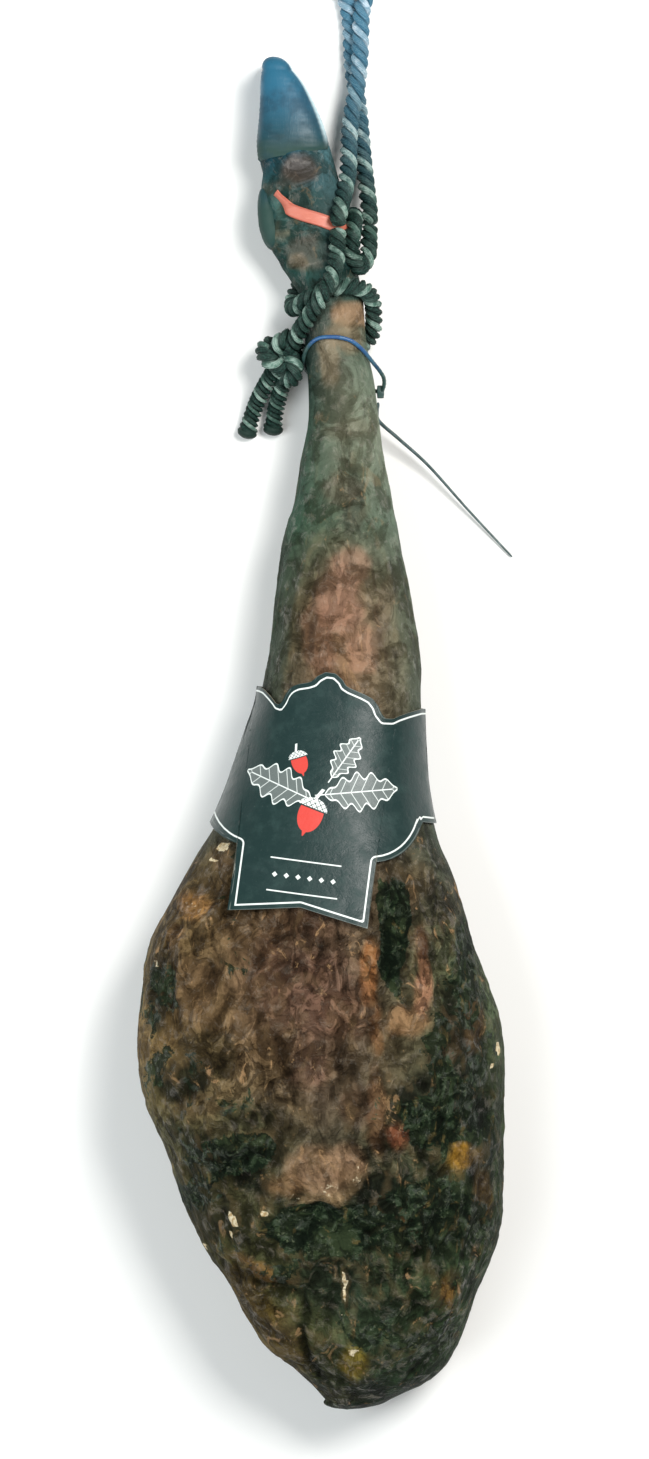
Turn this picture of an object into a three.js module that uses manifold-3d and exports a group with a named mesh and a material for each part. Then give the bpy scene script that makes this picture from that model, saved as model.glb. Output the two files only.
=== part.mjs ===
// A whole cured ham, hoof on, lying on its rind with the cut inner face up. Millimetres, +Z up, the
// hoof towards +Y. It carries a card label, a flat plastic seal, a thin plastic tie, and the rope that
// it was hung by.
import * as THREE from 'three';
import { mergeVertices } from 'three/addons/utils/BufferGeometryUtils.js';
import Module from 'manifold-3d';

const wasm = await Module();
wasm.setup();

// ---- Driving dimensions ----
const GAP = 0.3; // the air kept between pieces that touch
const ROPE_DIAMETER = 9.6;
const TIE_DIAMETER = 2.5;
const STRAP_WIDTH = 8;
const STRAP_THICKNESS = 1.2;
const CARD_THICKNESS = 1.1;
const CARD_CLEARANCE = 1.7; // between the card's inner face and the skin
const SECTION_POWER = 2.3; // 2 is an ellipse, more is squarer
const HALVINGS = 24; // steps of each search by halving
const WIDEST_HEIGHT = 0.45; // where a section is widest, as a share of its height
const FOOT_CENTRE_HEIGHT = 23.75; // the two claws mirror each other about this height

// The leg's sections from the rump end to the foot. Each row holds the left edge's x and y, the right
// edge's x and y, and the heights of the underside and the top. An underside below 0 is a section that
// is pressed flat on the surface it lies on.
const LEG_STATIONS = [
  [0, 6, 41, 6, 22, 66],
  [-15, 22, 72, 22, 7, 88],
  [-38, 45, 87, 47, -2, 104],
  [-57, 74, 95, 71, -6, 117],
  [-77, 107, 107, 108, -8, 128],
  [-97, 156, 110, 147, -9, 136],
  [-114, 193, 111, 187, -9, 140],
  [-117, 231, 108, 231, -9, 141],
  [-111, 280, 97, 279, -8, 138],
  [-98, 311, 88, 310, -4, 132],
  [-80, 344, 78, 337, 0, 126],
  [-66, 367, 70, 356, 3, 120],
  [-51, 404, 62.5, 393, 6, 111],
  [-39, 447, 60, 437, 9, 102],
  [-34, 472, 59, 466, 11, 95],
  [-30, 503, 54, 500, 13, 88],
  [-25, 541, 47, 536, 15, 80],
  [-18, 565, 42, 562, 16, 75],
  [-14, 590, 37, 588, 16, 70],
  [-10, 615, 34, 614, 15, 64],
  [-10, 637, 31, 639, 13.5, 58],
  [-12, 658, 27, 660, 12, 53],
  [-12.5, 676, 25, 678, 11, 50],
  [-14.5, 692, 24, 695, 10, 49],
  [-21.5, 704, 21, 708, 10, 48.5],
  [-29, 717, 16, 727, 10, 48],
  [-33, 742, 13, 750, 9, 47],
  [-37, 764, 8, 771, 6, 47],
  [-41, 781, 3, 788, 3, 46.5],
];
const RUMP_TIP = new THREE.Vector3(14, 0, 44);

// The upper claw's sections from the skin to the tip, laid out as the leg's are.
const CLAW_STATIONS = [
  [-41.8, 781.6, 2.6, 788.4, 25, 47],
  [-42.3, 790, 1, 795, 24.4, 47.5],
  [-41.2, 801, -2.2, 804, 24.4, 47],
  [-40.3, 814, -6.8, 814, 25, 46],
  [-40, 825, -12, 824, 26, 44.5],
  [-39.4, 832, -17.2, 831.2, 27.6, 43],
  [-37.4, 838.4, -23.4, 837.6, 30, 40.5],
];
const CLAW_TIP = new THREE.Vector3(-31.5, 842.8, 35);

const DEWCLAW_CENTRE = new THREE.Vector3(-35, 742, 35);
const DEWCLAW_RADII = new THREE.Vector3(6.5, 19, 8);
const DEWCLAW_LEAN = 0.2;

// ---- Helpers ----

// Turns a BufferGeometry into a closed mesh with merged vertices and faces that point out.
function closed(geometry) {
  const bare = geometry.clone();
  bare.deleteAttribute('normal');
  bare.deleteAttribute('uv');
  const merged = mergeVertices(bare, 1e-3);
  const position = merged.attributes.position;
  const index = merged.index.array;
  const corner = [new THREE.Vector3(), new THREE.Vector3(), new THREE.Vector3()];
  let volume = 0;
  for (let i = 0; i < index.length; i += 3) {
    corner.forEach((point, k) => point.fromBufferAttribute(position, index[i + k]));
    volume += corner[0].dot(corner[1].clone().cross(corner[2]));
  }
  if (volume < 0) {
    for (let i = 0; i < index.length; i += 3) {
      [index[i + 1], index[i + 2]] = [index[i + 2], index[i + 1]];
    }
  }
  return merged;
}

// Moves every vertex of a geometry to place(u, v), where u and v are its own texture coordinates.
function shaped(geometry, place) {
  const { position, uv } = geometry.attributes;
  for (let i = 0; i < position.count; i += 1) {
    const point = place(uv.getX(i), uv.getY(i));
    position.setXYZ(i, point.x, point.y, point.z);
  }
  return closed(geometry);
}

function solid(geometry) {
  return new wasm.Manifold(new wasm.Mesh({
    numProp: 3,
    vertProperties: new Float32Array(geometry.attributes.position.array),
    triVerts: new Uint32Array(geometry.index.array),
  }));
}

function fromSolid(body) {
  const mesh = body.getMesh();
  const geometry = new THREE.BufferGeometry();
  geometry.setAttribute('position', new THREE.BufferAttribute(mesh.vertProperties, 3));
  geometry.setIndex(new THREE.BufferAttribute(mesh.triVerts, 1));
  return geometry;
}

const signedPower = (value, power) => Math.sign(value) * Math.abs(value) ** power;

// Reads a piecewise straight table of [x, y] rows at x.
function lookUp(table, x) {
  const next = table.findIndex((row) => row[0] >= x);
  if (next === 0) return table[0][1];
  if (next < 0) return table[table.length - 1][1];
  const [x0, y0] = table[next - 1];
  const [x1, y1] = table[next];
  return THREE.MathUtils.mapLinear(x, x0, x1, y0, y1);
}

// A body lofted through stations. Its left and right edges are smooth curves through the rows, and
// across() gives the point at t along it and u across it, on the upper or the lower side.
class Loft {
  constructor(stations) {
    const left = stations.map((row) => new THREE.Vector3(row[0], row[1], row[4]));
    const right = stations.map((row) => new THREE.Vector3(row[2], row[3], row[5]));
    this.left = new THREE.CatmullRomCurve3(left, false, 'catmullrom', 0.5);
    this.right = new THREE.CatmullRomCurve3(right, false, 'catmullrom', 0.5);
  }

  section(t) {
    const left = this.left.getPoint(t);
    const right = this.right.getPoint(t);
    const half = new THREE.Vector2(right.x - left.x, right.y - left.y).multiplyScalar(0.5);
    const middle = new THREE.Vector2(left.x + half.x, left.y + half.y);
    return { half, middle, low: left.z, high: right.z };
  }

  place(t, u, v, offset = 0) {
    const { half, middle, low, high } = this.section(t);
    const widest = low + WIDEST_HEIGHT * (high - low);
    const reach = v > 0 ? high - widest : widest - low;
    const wider = 1 + offset / half.length();
    const height = widest + v * (reach + offset);
    return new THREE.Vector3(middle.x + half.x * u * wider, middle.y + half.y * u * wider, height);
  }

  around(t, angle, offset = 0) {
    const u = signedPower(Math.cos(angle), 2 / SECTION_POWER);
    const v = signedPower(Math.sin(angle), 2 / SECTION_POWER);
    return this.place(t, u, v, offset);
  }

  // The parameter t at which around(t, angle) has this y.
  atY(y, angle) {
    let low = 0;
    let high = 1;
    for (let i = 0; i < HALVINGS; i += 1) {
      const t = (low + high) / 2;
      if (this.around(t, angle).y < y) low = t;
      else high = t;
    }
    return low;
  }

  // A closed skin over the whole loft: a sphere whose rows become sections and whose poles the ends.
  skin(rows, columns, startPoint, endPoint, offset = 0) {
    const sphere = new THREE.SphereGeometry(1, columns, rows);
    return shaped(sphere, (u, v) => {
      const row = Math.round(v * rows);
      if (row === 0) return startPoint.clone();
      if (row === rows) return endPoint.clone();
      const point = this.around((row - 1) / (rows - 2), 2 * Math.PI * (u % 1), offset);
      point.z = Math.max(point.z, 0);
      return point;
    });
  }
}

const leg = new Loft(LEG_STATIONS);
const group = new THREE.Group();

function add(name, geometry, color, roughness) {
  const material = new THREE.MeshStandardMaterial({ color, roughness, metalness: 0 });
  const mesh = new THREE.Mesh(geometry, material);
  mesh.name = name;
  group.add(mesh);
  return mesh;
}

function sectionCentre(loft, t) {
  const { middle, low, high } = loft.section(t);
  return new THREE.Vector3(middle.x, middle.y, (low + high) / 2);
}

// ---- Ham ----
// The leg grew as one piece: rump, thigh, shank and foot in one skin.
const LEG_ROWS = 54;
const LEG_COLUMNS = 40;
add('ham', leg.skin(LEG_ROWS, LEG_COLUMNS, RUMP_TIP, sectionCentre(leg, 1)), 0x5a3f35, 0.6);
const legRoom = solid(leg.skin(LEG_ROWS, LEG_COLUMNS, RUMP_TIP, sectionCentre(leg, 1), GAP));

// ---- Claws ----
// Two horn claws side by side. The lower one touches the surface that the ham lies on.
const lowerStations = CLAW_STATIONS.map(([xl, yl, xr, yr, low, high]) => [
  xl, yl, xr, yr, 2 * FOOT_CENTRE_HEIGHT - high, 2 * FOOT_CENTRE_HEIGHT - low,
]);
const lowerTip = CLAW_TIP.clone().setZ(2 * FOOT_CENTRE_HEIGHT - CLAW_TIP.z);
const CLAW_ROWS = 12;
const CLAW_COLUMNS = 18;
const upperClaw = new Loft(CLAW_STATIONS);
const lowerClaw = new Loft(lowerStations);
for (const [name, claw, tip] of [
  ['claw_upper', upperClaw, CLAW_TIP],
  ['claw_lower', lowerClaw, lowerTip],
]) {
  add(name, claw.skin(CLAW_ROWS, CLAW_COLUMNS, sectionCentre(claw, 0), tip), 0x1c3238, 0.3);
}

// ---- Dewclaws ----
// Two small horn ovals at the back of the foot, each hollowed where it sits against the skin.
for (const [name, height] of [
  ['dewclaw_upper', DEWCLAW_CENTRE.z],
  ['dewclaw_lower', 2 * FOOT_CENTRE_HEIGHT - DEWCLAW_CENTRE.z],
]) {
  const oval = new THREE.SphereGeometry(1, 16, 12);
  oval.scale(DEWCLAW_RADII.x, DEWCLAW_RADII.y, DEWCLAW_RADII.z);
  oval.rotateZ(DEWCLAW_LEAN);
  oval.translate(DEWCLAW_CENTRE.x, DEWCLAW_CENTRE.y, height);
  add(name, fromSolid(solid(closed(oval)).subtract(legRoom)), 0x1f3b36, 0.4);
}

// ---- Label ----
// A card band that goes once round the leg, with a crown at its top and a panel that hangs down on
// the front. It has its own axes: across (p) and along (q), turned clockwise from the leg's.
const LABEL_CENTRE = new THREE.Vector2(-2.8, 391.8);
const LABEL_TILT = THREE.MathUtils.degToRad(7.5);
const LABEL_MIDDLE = -2; // the p of the card's line of symmetry
const PANEL_HALF_WIDTH = 42.5;
const PANEL_NOTCH = -78;
const PANEL_CORNER = -85.5;
const BACK_TOP = 53;
const BACK_BOTTOM = -17;
// How high the top edge is, by distance from the line of symmetry.
const CROWN = [
  [0, 66.5], [3, 66.5], [8, 63], [10, 60], [13, 58.6], [22, 56], [27, 54], [31, 50], [33, 46],
  [36, 43], [41, 43.5], [44, 45.5], [50, 48.5], [58, 52], [64, BACK_TOP],
];
// How low the band's bottom edge is beside the panel, by the same distance.
const BAND_BOTTOM = [
  [PANEL_HALF_WIDTH, -44.5], [50, -41], [58, -35], [62, -29], [66, -20], [68, BACK_BOTTOM],
];
// The share of the way to the sides at which the card's columns stop running straight.
const STRAIGHT_SHARE = 0.7;

function labelAxes(point) {
  const x = point.x - LABEL_CENTRE.x;
  const y = point.y - LABEL_CENTRE.y;
  return {
    p: x * Math.cos(LABEL_TILT) - y * Math.sin(LABEL_TILT),
    q: x * Math.sin(LABEL_TILT) + y * Math.cos(LABEL_TILT),
  };
}

// The point of the card at this angle round the leg and this q. On the front the card's columns run
// straight, as card does, and on the sides and the back they follow the skin.
function onCard(angle, q, offset) {
  const u0 = signedPower(Math.cos(angle), 2 / SECTION_POWER);
  const upper = Math.sin(angle) > 0;
  const straight = upper ? 1 - THREE.MathUtils.smoothstep(Math.abs(u0), STRAIGHT_SHARE, 1) : 0;
  const waist = leg.section(leg.atY(LABEL_CENTRE.y, Math.PI / 2)).half.length();
  let low = 0;
  let high = 1;
  let point = null;
  for (let i = 0; i < HALVINGS; i += 1) {
    const t = (low + high) / 2;
    const narrowing = waist / leg.section(t).half.length() - 1;
    const u = THREE.MathUtils.clamp(u0 * (1 + straight * narrowing), -1, 1);
    const v = (1 - Math.abs(u) ** SECTION_POWER) ** (1 / SECTION_POWER);
    point = leg.place(t, u, upper ? v : -v, offset);
    if (labelAxes(point).q < q) low = t;
    else high = t;
  }
  return point;
}

function cardEdges(angle) {
  if (Math.sin(angle) < 0) return [BACK_BOTTOM, BACK_TOP];
  const distance = Math.abs(labelAxes(onCard(angle, 0, 0)).p - LABEL_MIDDLE);
  const top = lookUp(CROWN, distance);
  if (distance > PANEL_HALF_WIDTH) return [lookUp(BAND_BOTTOM, distance), top];
  const bottom = THREE.MathUtils.mapLinear(distance, 0, PANEL_HALF_WIDTH, PANEL_NOTCH, PANEL_CORNER);
  return [bottom, top];
}

const CARD_COLUMNS = 64;
const CARD_ROWS = 8;
const cardRing = new THREE.TorusGeometry(1, 0.1, 2 * CARD_ROWS + 2, CARD_COLUMNS);
add('label', shaped(cardRing, (u, v) => {
  const angle = 2 * Math.PI * (u % 1);
  const step = Math.round(v * (2 * CARD_ROWS + 2)) % (2 * CARD_ROWS + 2);
  const outside = step <= CARD_ROWS;
  const share = (outside ? step : 2 * CARD_ROWS + 1 - step) / CARD_ROWS;
  const [bottom, top] = cardEdges(angle);
  const offset = CARD_CLEARANCE + (outside ? CARD_THICKNESS : 0);
  return onCard(angle, THREE.MathUtils.lerp(bottom, top, share), offset);
}), 0x101014, 0.35);

// ---- Flat seal ----
// A flat plastic strap over the foot and round its right side, with a short end that kinks away.
// Each row: the angle round the foot, the y there, and how far the strap stands off the skin.
const STRAP_ROUTE = [
  [2.3, 757, 2.4], [2.15, 752, 1.2], [2.0, 747, 0.6], [1.7, 743.5, 0.5], [1.35, 740, 0.5],
  [1.0, 737, 0.5], [0.6, 734.5, 0.5], [0.2, 733, 0.5], [-0.3, 731, 0.5], [-0.8, 729.5, 0.5],
  [-1.2, 728.5, 0.5], [-1.7, 728, 0.5],
];
const strapPoints = STRAP_ROUTE.map(([angle, y, offset]) => leg.around(leg.atY(y, angle), angle, offset));
const strapCurve = new THREE.CatmullRomCurve3(strapPoints, false, 'catmullrom', 0.5);
const STRAP_STEPS = 26;

// The strap as a bent bar, made bigger all round by some room.
function strapWith(room) {
  const bar = new THREE.BoxGeometry(1, 1, 1, STRAP_STEPS, 1, 1);
  const corners = bar.attributes.position;
  for (let i = 0; i < corners.count; i += 1) {
    const share = corners.getX(i) + 0.5;
    const centre = strapCurve.getPoint(share);
    const along = strapCurve.getTangent(share);
    const out = centre.clone().sub(sectionCentre(leg, leg.atY(centre.y, Math.PI / 2)));
    out.addScaledVector(along, -out.dot(along)).normalize();
    const side = new THREE.Vector3().crossVectors(out, along);
    centre.addScaledVector(side, corners.getY(i) * (STRAP_WIDTH + 2 * room));
    centre.addScaledVector(out, corners.getZ(i) * (STRAP_THICKNESS + 2 * room) + STRAP_THICKNESS / 2);
    corners.setXYZ(i, centre.x, centre.y, centre.z);
  }
  return solid(closed(bar));
}

add('seal_strap', fromSolid(strapWith(0).subtract(legRoom)), 0xd8604a, 0.45);

// ---- Thin tie ----
// A ring of thin plastic round the shank with a small lock that stands off at the right.
// Each row: the angle round the shank, the y there, and how far it stands off the skin.
const TIE_ROUTE = [
  [-0.35, 634, 3.4], [0, 642, 5.2], [0.4, 652, 1.6], [0.8, 660, 0.3], [1.2, 665, 0.3], [1.6, 667, 0.3],
  [2.1, 666, 0.3], [2.6, 660, 0.3], [3.1, 652, 0.3], [3.7, 646, 0.3], [4.3, 643, 0.3], [4.9, 641, 0.3],
  [5.4, 638, 0.5],
];
const TIE_STEPS = 44;
const TIE_SIDES = 8;
const TIE_LOCK_SIZE = new THREE.Vector3(4.5, 8, 5);

function tube(curve, steps, sides, radius) {
  const section = new THREE.Shape();
  section.absarc(0, 0, radius, 0, 2 * Math.PI);
  const polygon = new THREE.Shape(section.getSpacedPoints(sides).slice(0, sides));
  return closed(new THREE.ExtrudeGeometry(polygon, { steps, extrudePath: curve, bevelEnabled: false }));
}

const tiePoints = TIE_ROUTE.map(([angle, y, standOff]) => (
  leg.around(leg.atY(y, angle), angle, standOff + TIE_DIAMETER / 2)));
const tieCurve = new THREE.CatmullRomCurve3(tiePoints, true, 'catmullrom', 0.5);
const tieRing = new THREE.TorusGeometry(1, 0.1, TIE_SIDES, TIE_STEPS);

function tieRingAt(radius) {
  return shaped(tieRing.clone(), (u, v) => {
    const centre = tieCurve.getPoint(u % 1);
    const along = tieCurve.getTangent(u % 1);
    const side = new THREE.Vector3().crossVectors(along, new THREE.Vector3(0, 1, 0)).normalize();
    const up = new THREE.Vector3().crossVectors(side, along);
    centre.addScaledVector(side, radius * Math.cos(2 * Math.PI * v));
    return centre.addScaledVector(up, radius * Math.sin(2 * Math.PI * v));
  });
}

const lock = new THREE.BoxGeometry(TIE_LOCK_SIZE.x, TIE_LOCK_SIZE.y, TIE_LOCK_SIZE.z);
lock.translate(tiePoints[0].x, tiePoints[0].y, tiePoints[0].z);
const tieBody = solid(tieRingAt(TIE_DIAMETER / 2)).add(solid(closed(lock)));
const tieRoom = solid(tieRingAt(TIE_DIAMETER / 2 + GAP));
add('tie_band', fromSolid(tieBody), 0x23407c, 0.35);

// The tie's stiff free end, from below the lock down to the surface beside the leg.
const TIE_TAIL_ROUTE = [
  [33.6, 627.5, 25.5], [32.8, 622, 21.5], [34.2, 616, 18.5], [46.8, 605, 14], [65.4, 588.4, 9.5],
  [90.2, 561, 4.5], [118, 531.4, 1.6],
];
const asPoints = (route) => route.map(([x, y, z]) => new THREE.Vector3(x, y, z));
const tieTailCurve = new THREE.CatmullRomCurve3(asPoints(TIE_TAIL_ROUTE), false, 'catmullrom', 0.5);
add('tie_tail', tube(tieTailCurve, 16, 8, TIE_DIAMETER / 2), 0x1b2a2c, 0.4);

// ---- Rope ----
// One rope: from the left cut end through the knot, over the front, up to the free loop and back down,
// round the ankle, and under the shank to the knot and the right cut end.
const KNOT_CENTRE = new THREE.Vector3(-27, 653, 28);
const KNOT_RADII = new THREE.Vector3(15, 18, 14.5);
const TAIL_LEFT_ROUTE = [
  [-49.3, 605.7, 5.2], [-47, 615, 6], [-43.5, 625, 9], [-39.5, 634, 14.5], [-33, 645, 22],
];
const TAIL_RIGHT_ROUTE = [
  [-32.6, 607.6, 5.2], [-31.8, 616, 5.8], [-30.5, 624, 8.5], [-28.5, 632, 13.5], [-25.5, 643, 21],
];
const FRONT_ROUTE = [
  [-22, 660, 32], [-18.5, 666, 38], [-15, 672, 45], [-9.5, 680, 54], [-3, 689, 61.5], [2, 698, 64.5],
  [5.5, 707, 60.5], [7.6, 717, 54.2], [8, 726, 51.8], [8.1, 735, 50.7],
];
const LOOP_ROUTE = [
  [8.1, 735.9, 50.6], [8.9, 743.5, 49], [11.8, 755, 41.5], [14.6, 771, 29.5], [15.2, 789, 20],
  [16.2, 804, 16], [18, 814, 15.2], [19.6, 822, 15.2], [20.8, 830, 15.2], [21.6, 838, 15],
  [22.2, 846, 14.4], [22.6, 857, 13.6], [23.2, 872, 12.6], [26.5, 885, 9.5], [32.5, 898, 6.2],
  [37, 912, 5.2], [34.5, 925, 5.2], [26.5, 933, 5.2], [17, 934.5, 5.2], [8, 930, 5.2],
  [3, 919.5, 5.2], [3.4, 906, 5.2], [8, 892.5, 5.2], [14, 879, 5.2], [16.5, 864, 5.2],
  [17, 850, 5.2], [17.9, 837, 5.2], [20, 823, 5.2], [21.9, 809, 5.4], [23, 795, 7.4],
  [24.3, 780, 12], [25.9, 765, 18], [27.6, 750, 24.4], [28, 738.4, 29],
];
const TURN_ROUTE = [
  [28, 738, 29.2], [27.6, 729, 32], [27.2, 720, 35.6], [22.6, 711, 39.6], [17.6, 717.5, 41.8],
  [17, 727, 42], [18, 736, 38], [18.6, 742.6, 27], [17.8, 744.8, 16], [12, 743, 7.5], [3, 734, 5.2],
  [-6, 719, 5.2], [-13, 706, 5.8], [-18, 697, 10.5], [-19.6, 690, 18.5], [-19.2, 686, 31],
  [-15.6, 687.5, 43], [-8.5, 692, 52], [0, 696, 54.4], [9, 698, 54], [18, 698.5, 50], [26, 696, 41.5],
  [30, 690, 32], [30.8, 682, 27], [30.5, 674, 22], [27, 667, 14], [19, 663, 8], [8, 660.5, 6.4],
  [-4, 658.5, 8], [-12.5, 657, 13.5], [-19, 655.5, 21],
];
const ROPE_SIDES = 8;
const knotOval = new THREE.SphereGeometry(1, 18, 14);
const knotRoomOval = knotOval.clone();
knotOval.scale(KNOT_RADII.x, KNOT_RADII.y, KNOT_RADII.z);
knotOval.translate(KNOT_CENTRE.x, KNOT_CENTRE.y, KNOT_CENTRE.z);
knotRoomOval.scale(KNOT_RADII.x + GAP, KNOT_RADII.y + GAP, KNOT_RADII.z + GAP);
knotRoomOval.translate(KNOT_CENTRE.x, KNOT_CENTRE.y, KNOT_CENTRE.z);
const knotRoom = solid(closed(knotRoomOval));

// Each run is squashed where it lies against the knot, the leg, the tie, the seal or an earlier run.
const takenRooms = [knotRoom, legRoom, tieRoom, strapWith(GAP)];

function ropeRun(name, route, steps) {
  const curve = new THREE.CatmullRomCurve3(asPoints(route), false, 'catmullrom', 0.5);
  const whole = solid(tube(curve, steps, ROPE_SIDES, ROPE_DIAMETER / 2));
  const run = takenRooms.reduce((left, room) => left.subtract(room), whole);
  add(name, fromSolid(run), 0x2f5a50, 0.85);
  takenRooms.push(solid(tube(curve, steps, ROPE_SIDES, ROPE_DIAMETER / 2 + GAP)));
}

ropeRun('rope_loop', LOOP_ROUTE, 46);
ropeRun('rope_front', FRONT_ROUTE, 14);
ropeRun('rope_turn', TURN_ROUTE, 48);
ropeRun('rope_tail_left', TAIL_LEFT_ROUTE, 6);
ropeRun('rope_tail_right', TAIL_RIGHT_ROUTE, 6);
add('rope_knot', fromSolid(solid(closed(knotOval)).subtract(legRoom).subtract(tieRoom)), 0x2f5a50, 0.85);

// ---- Origin ----
// The origin is under the middle of the ham and what is fixed on it, the free cords left out.
const FREE_CORDS = ['tie_tail', 'rope_loop', 'rope_front', 'rope_turn', 'rope_tail_left', 'rope_tail_right',
  'rope_knot'];
const box = new THREE.Box3();
group.children.filter((mesh) => !FREE_CORDS.includes(mesh.name)).forEach((mesh) => box.expandByObject(mesh));
const centre = box.getCenter(new THREE.Vector3());
group.position.set(-centre.x, -centre.y, 0);

export default group;
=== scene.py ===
"""A whole cured ham with its black hoof, laid down with its rope, tie, seal and card.

Metres, +Z up, the hoof towards +Y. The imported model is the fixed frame, and each real piece is made
over its own CAD nodes, in the places that the model's design gives.
"""

import bpy
import numpy as np
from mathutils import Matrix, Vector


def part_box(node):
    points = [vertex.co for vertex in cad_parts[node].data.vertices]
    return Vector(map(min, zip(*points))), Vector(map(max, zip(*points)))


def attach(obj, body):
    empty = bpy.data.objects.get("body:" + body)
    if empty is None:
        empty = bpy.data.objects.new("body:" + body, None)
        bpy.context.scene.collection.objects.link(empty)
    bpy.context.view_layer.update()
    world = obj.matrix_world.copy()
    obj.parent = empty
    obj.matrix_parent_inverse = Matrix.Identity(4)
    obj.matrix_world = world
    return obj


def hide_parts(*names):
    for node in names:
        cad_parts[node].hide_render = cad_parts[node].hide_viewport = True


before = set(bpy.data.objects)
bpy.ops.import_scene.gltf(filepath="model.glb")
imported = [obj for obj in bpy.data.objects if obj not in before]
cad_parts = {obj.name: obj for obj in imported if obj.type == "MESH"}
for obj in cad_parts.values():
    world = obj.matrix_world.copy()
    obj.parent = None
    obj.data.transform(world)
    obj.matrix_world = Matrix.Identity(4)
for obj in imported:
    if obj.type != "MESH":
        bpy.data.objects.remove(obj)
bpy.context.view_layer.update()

# ---- Camera ----
# It looks straight down on the laid ham, from so far that the ham's height hardly spreads its outline.
# The ham's design axes, which all the tables below are measured from, start at the rump's tip.
THIGH_REACH = 0.1170  # from the design's y axis to the thigh's left side
VIEW_MIDDLE = 0.4232  # how far up the design's y axis the view is centred
VIEW_HEIGHT = 0.9046
CAMERA_HEIGHT = 4.56
SHARP_HEIGHT = 0.06  # the height at which the view is VIEW_HEIGHT tall
FILM_SIZE = 36

ham_low, ham_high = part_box("ham")
origin = np.array([ham_low.x + THIGH_REACH, ham_low.y, 0])
lens = bpy.data.cameras.new("view_from_above")
lens.sensor_width = FILM_SIZE
lens.lens = FILM_SIZE * (CAMERA_HEIGHT - SHARP_HEIGHT) / VIEW_HEIGHT
camera = bpy.data.objects.new("view_from_above", lens)
camera.location = (origin[0], origin[1] + VIEW_MIDDLE, CAMERA_HEIGHT)
scene = bpy.context.scene
scene.collection.objects.link(camera)
scene.camera = camera
scene.view_settings.view_transform = "Standard"

# ---- Rope ----
# One laid rope of three strands, one of them pale: from a melted end through the knot, over the foot's
# front, out to the hanging loop and back, round the ankle and under the shank to the knot again.
ROPE_RADIUS = 0.0055  # over the strands, which leaves the rope 9.6 mm thick on average
STRAND_RADIUS = 0.52 * ROPE_RADIUS
STRAND_OUT = ROPE_RADIUS - STRAND_RADIUS  # from the rope's middle to a strand's middle
STRAND_COLUMNS = 18
YARNS = 7
YARN_HEIGHT = 0.00020
ROPE_STEP = 0.0009
ROPE_LAY = 0.020  # along the rope, one turn of a strand
KNOT_LAY = 0.0165
TAIL_LAY = 0.0105
END_ROUND = 0.0030
PRESSED_TO = 0.0002  # the height that a strand is pressed flat at, where the rope lies down

LOOP_ROUTE = [
    (0.0081, 0.7359, 0.0506), (0.0089, 0.7435, 0.049), (0.0118, 0.755, 0.0415), (0.0146, 0.771, 0.0295),
    (0.0152, 0.789, 0.02), (0.0162, 0.804, 0.016), (0.018, 0.814, 0.0152), (0.0196, 0.822, 0.0152),
    (0.0208, 0.83, 0.0152), (0.0216, 0.838, 0.015), (0.0222, 0.846, 0.0144), (0.0226, 0.857, 0.0136),
    (0.0232, 0.872, 0.0126), (0.0265, 0.885, 0.0095), (0.0325, 0.898, 0.0062), (0.037, 0.912, 0.0052),
    (0.0345, 0.925, 0.0052), (0.0265, 0.933, 0.0052), (0.017, 0.9345, 0.0052), (0.008, 0.93, 0.0052),
    (0.003, 0.9195, 0.0052), (0.0034, 0.906, 0.0052), (0.008, 0.8925, 0.0052), (0.014, 0.879, 0.0052),
    (0.0165, 0.864, 0.0052), (0.017, 0.85, 0.0052), (0.0179, 0.837, 0.0052), (0.02, 0.823, 0.0052),
    (0.0219, 0.809, 0.0054), (0.023, 0.795, 0.0074), (0.0243, 0.78, 0.012), (0.0259, 0.765, 0.018),
    (0.0276, 0.75, 0.0244), (0.028, 0.7384, 0.029),
]
FRONT_ROUTE = [
    (-0.022, 0.66, 0.032), (-0.0185, 0.666, 0.038), (-0.015, 0.672, 0.045), (-0.0095, 0.68, 0.054),
    (-0.003, 0.689, 0.0615), (0.002, 0.698, 0.0645), (0.0055, 0.707, 0.0605), (0.0076, 0.717, 0.0542),
    (0.008, 0.726, 0.0518), (0.0081, 0.735, 0.0507),
]
TURN_ROUTE = [
    (0.028, 0.738, 0.0292), (0.0276, 0.729, 0.032), (0.0272, 0.72, 0.0356), (0.0226, 0.711, 0.0396),
    (0.0176, 0.7175, 0.0418), (0.017, 0.727, 0.042), (0.018, 0.736, 0.038), (0.0186, 0.7426, 0.027),
    (0.0178, 0.7448, 0.016), (0.012, 0.743, 0.0075), (0.003, 0.734, 0.0052), (-0.006, 0.719, 0.0052),
    (-0.013, 0.706, 0.0058), (-0.018, 0.697, 0.0105), (-0.0196, 0.69, 0.0185), (-0.0192, 0.686, 0.031),
    (-0.0156, 0.6875, 0.043), (-0.0085, 0.692, 0.052), (0.0, 0.696, 0.0544), (0.009, 0.698, 0.054),
    (0.018, 0.6985, 0.05), (0.026, 0.696, 0.0415), (0.03, 0.69, 0.032), (0.0308, 0.682, 0.027),
    (0.0305, 0.674, 0.022), (0.027, 0.667, 0.014), (0.019, 0.663, 0.008), (0.008, 0.6605, 0.0064),
    (-0.004, 0.6585, 0.008), (-0.0125, 0.657, 0.0135), (-0.019, 0.6555, 0.021),
]
TAIL_LEFT_ROUTE = [
    (-0.0493, 0.6057, 0.0052), (-0.047, 0.615, 0.006), (-0.0435, 0.625, 0.009),
    (-0.0395, 0.634, 0.0145), (-0.033, 0.645, 0.022),
]
TAIL_RIGHT_ROUTE = [
    (-0.0326, 0.6076, 0.0052), (-0.0318, 0.616, 0.0058), (-0.0305, 0.624, 0.0085),
    (-0.0285, 0.632, 0.0135), (-0.0255, 0.643, 0.021),
]
KNOT_CENTRE = (-0.027, 0.653, 0.028)
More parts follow.
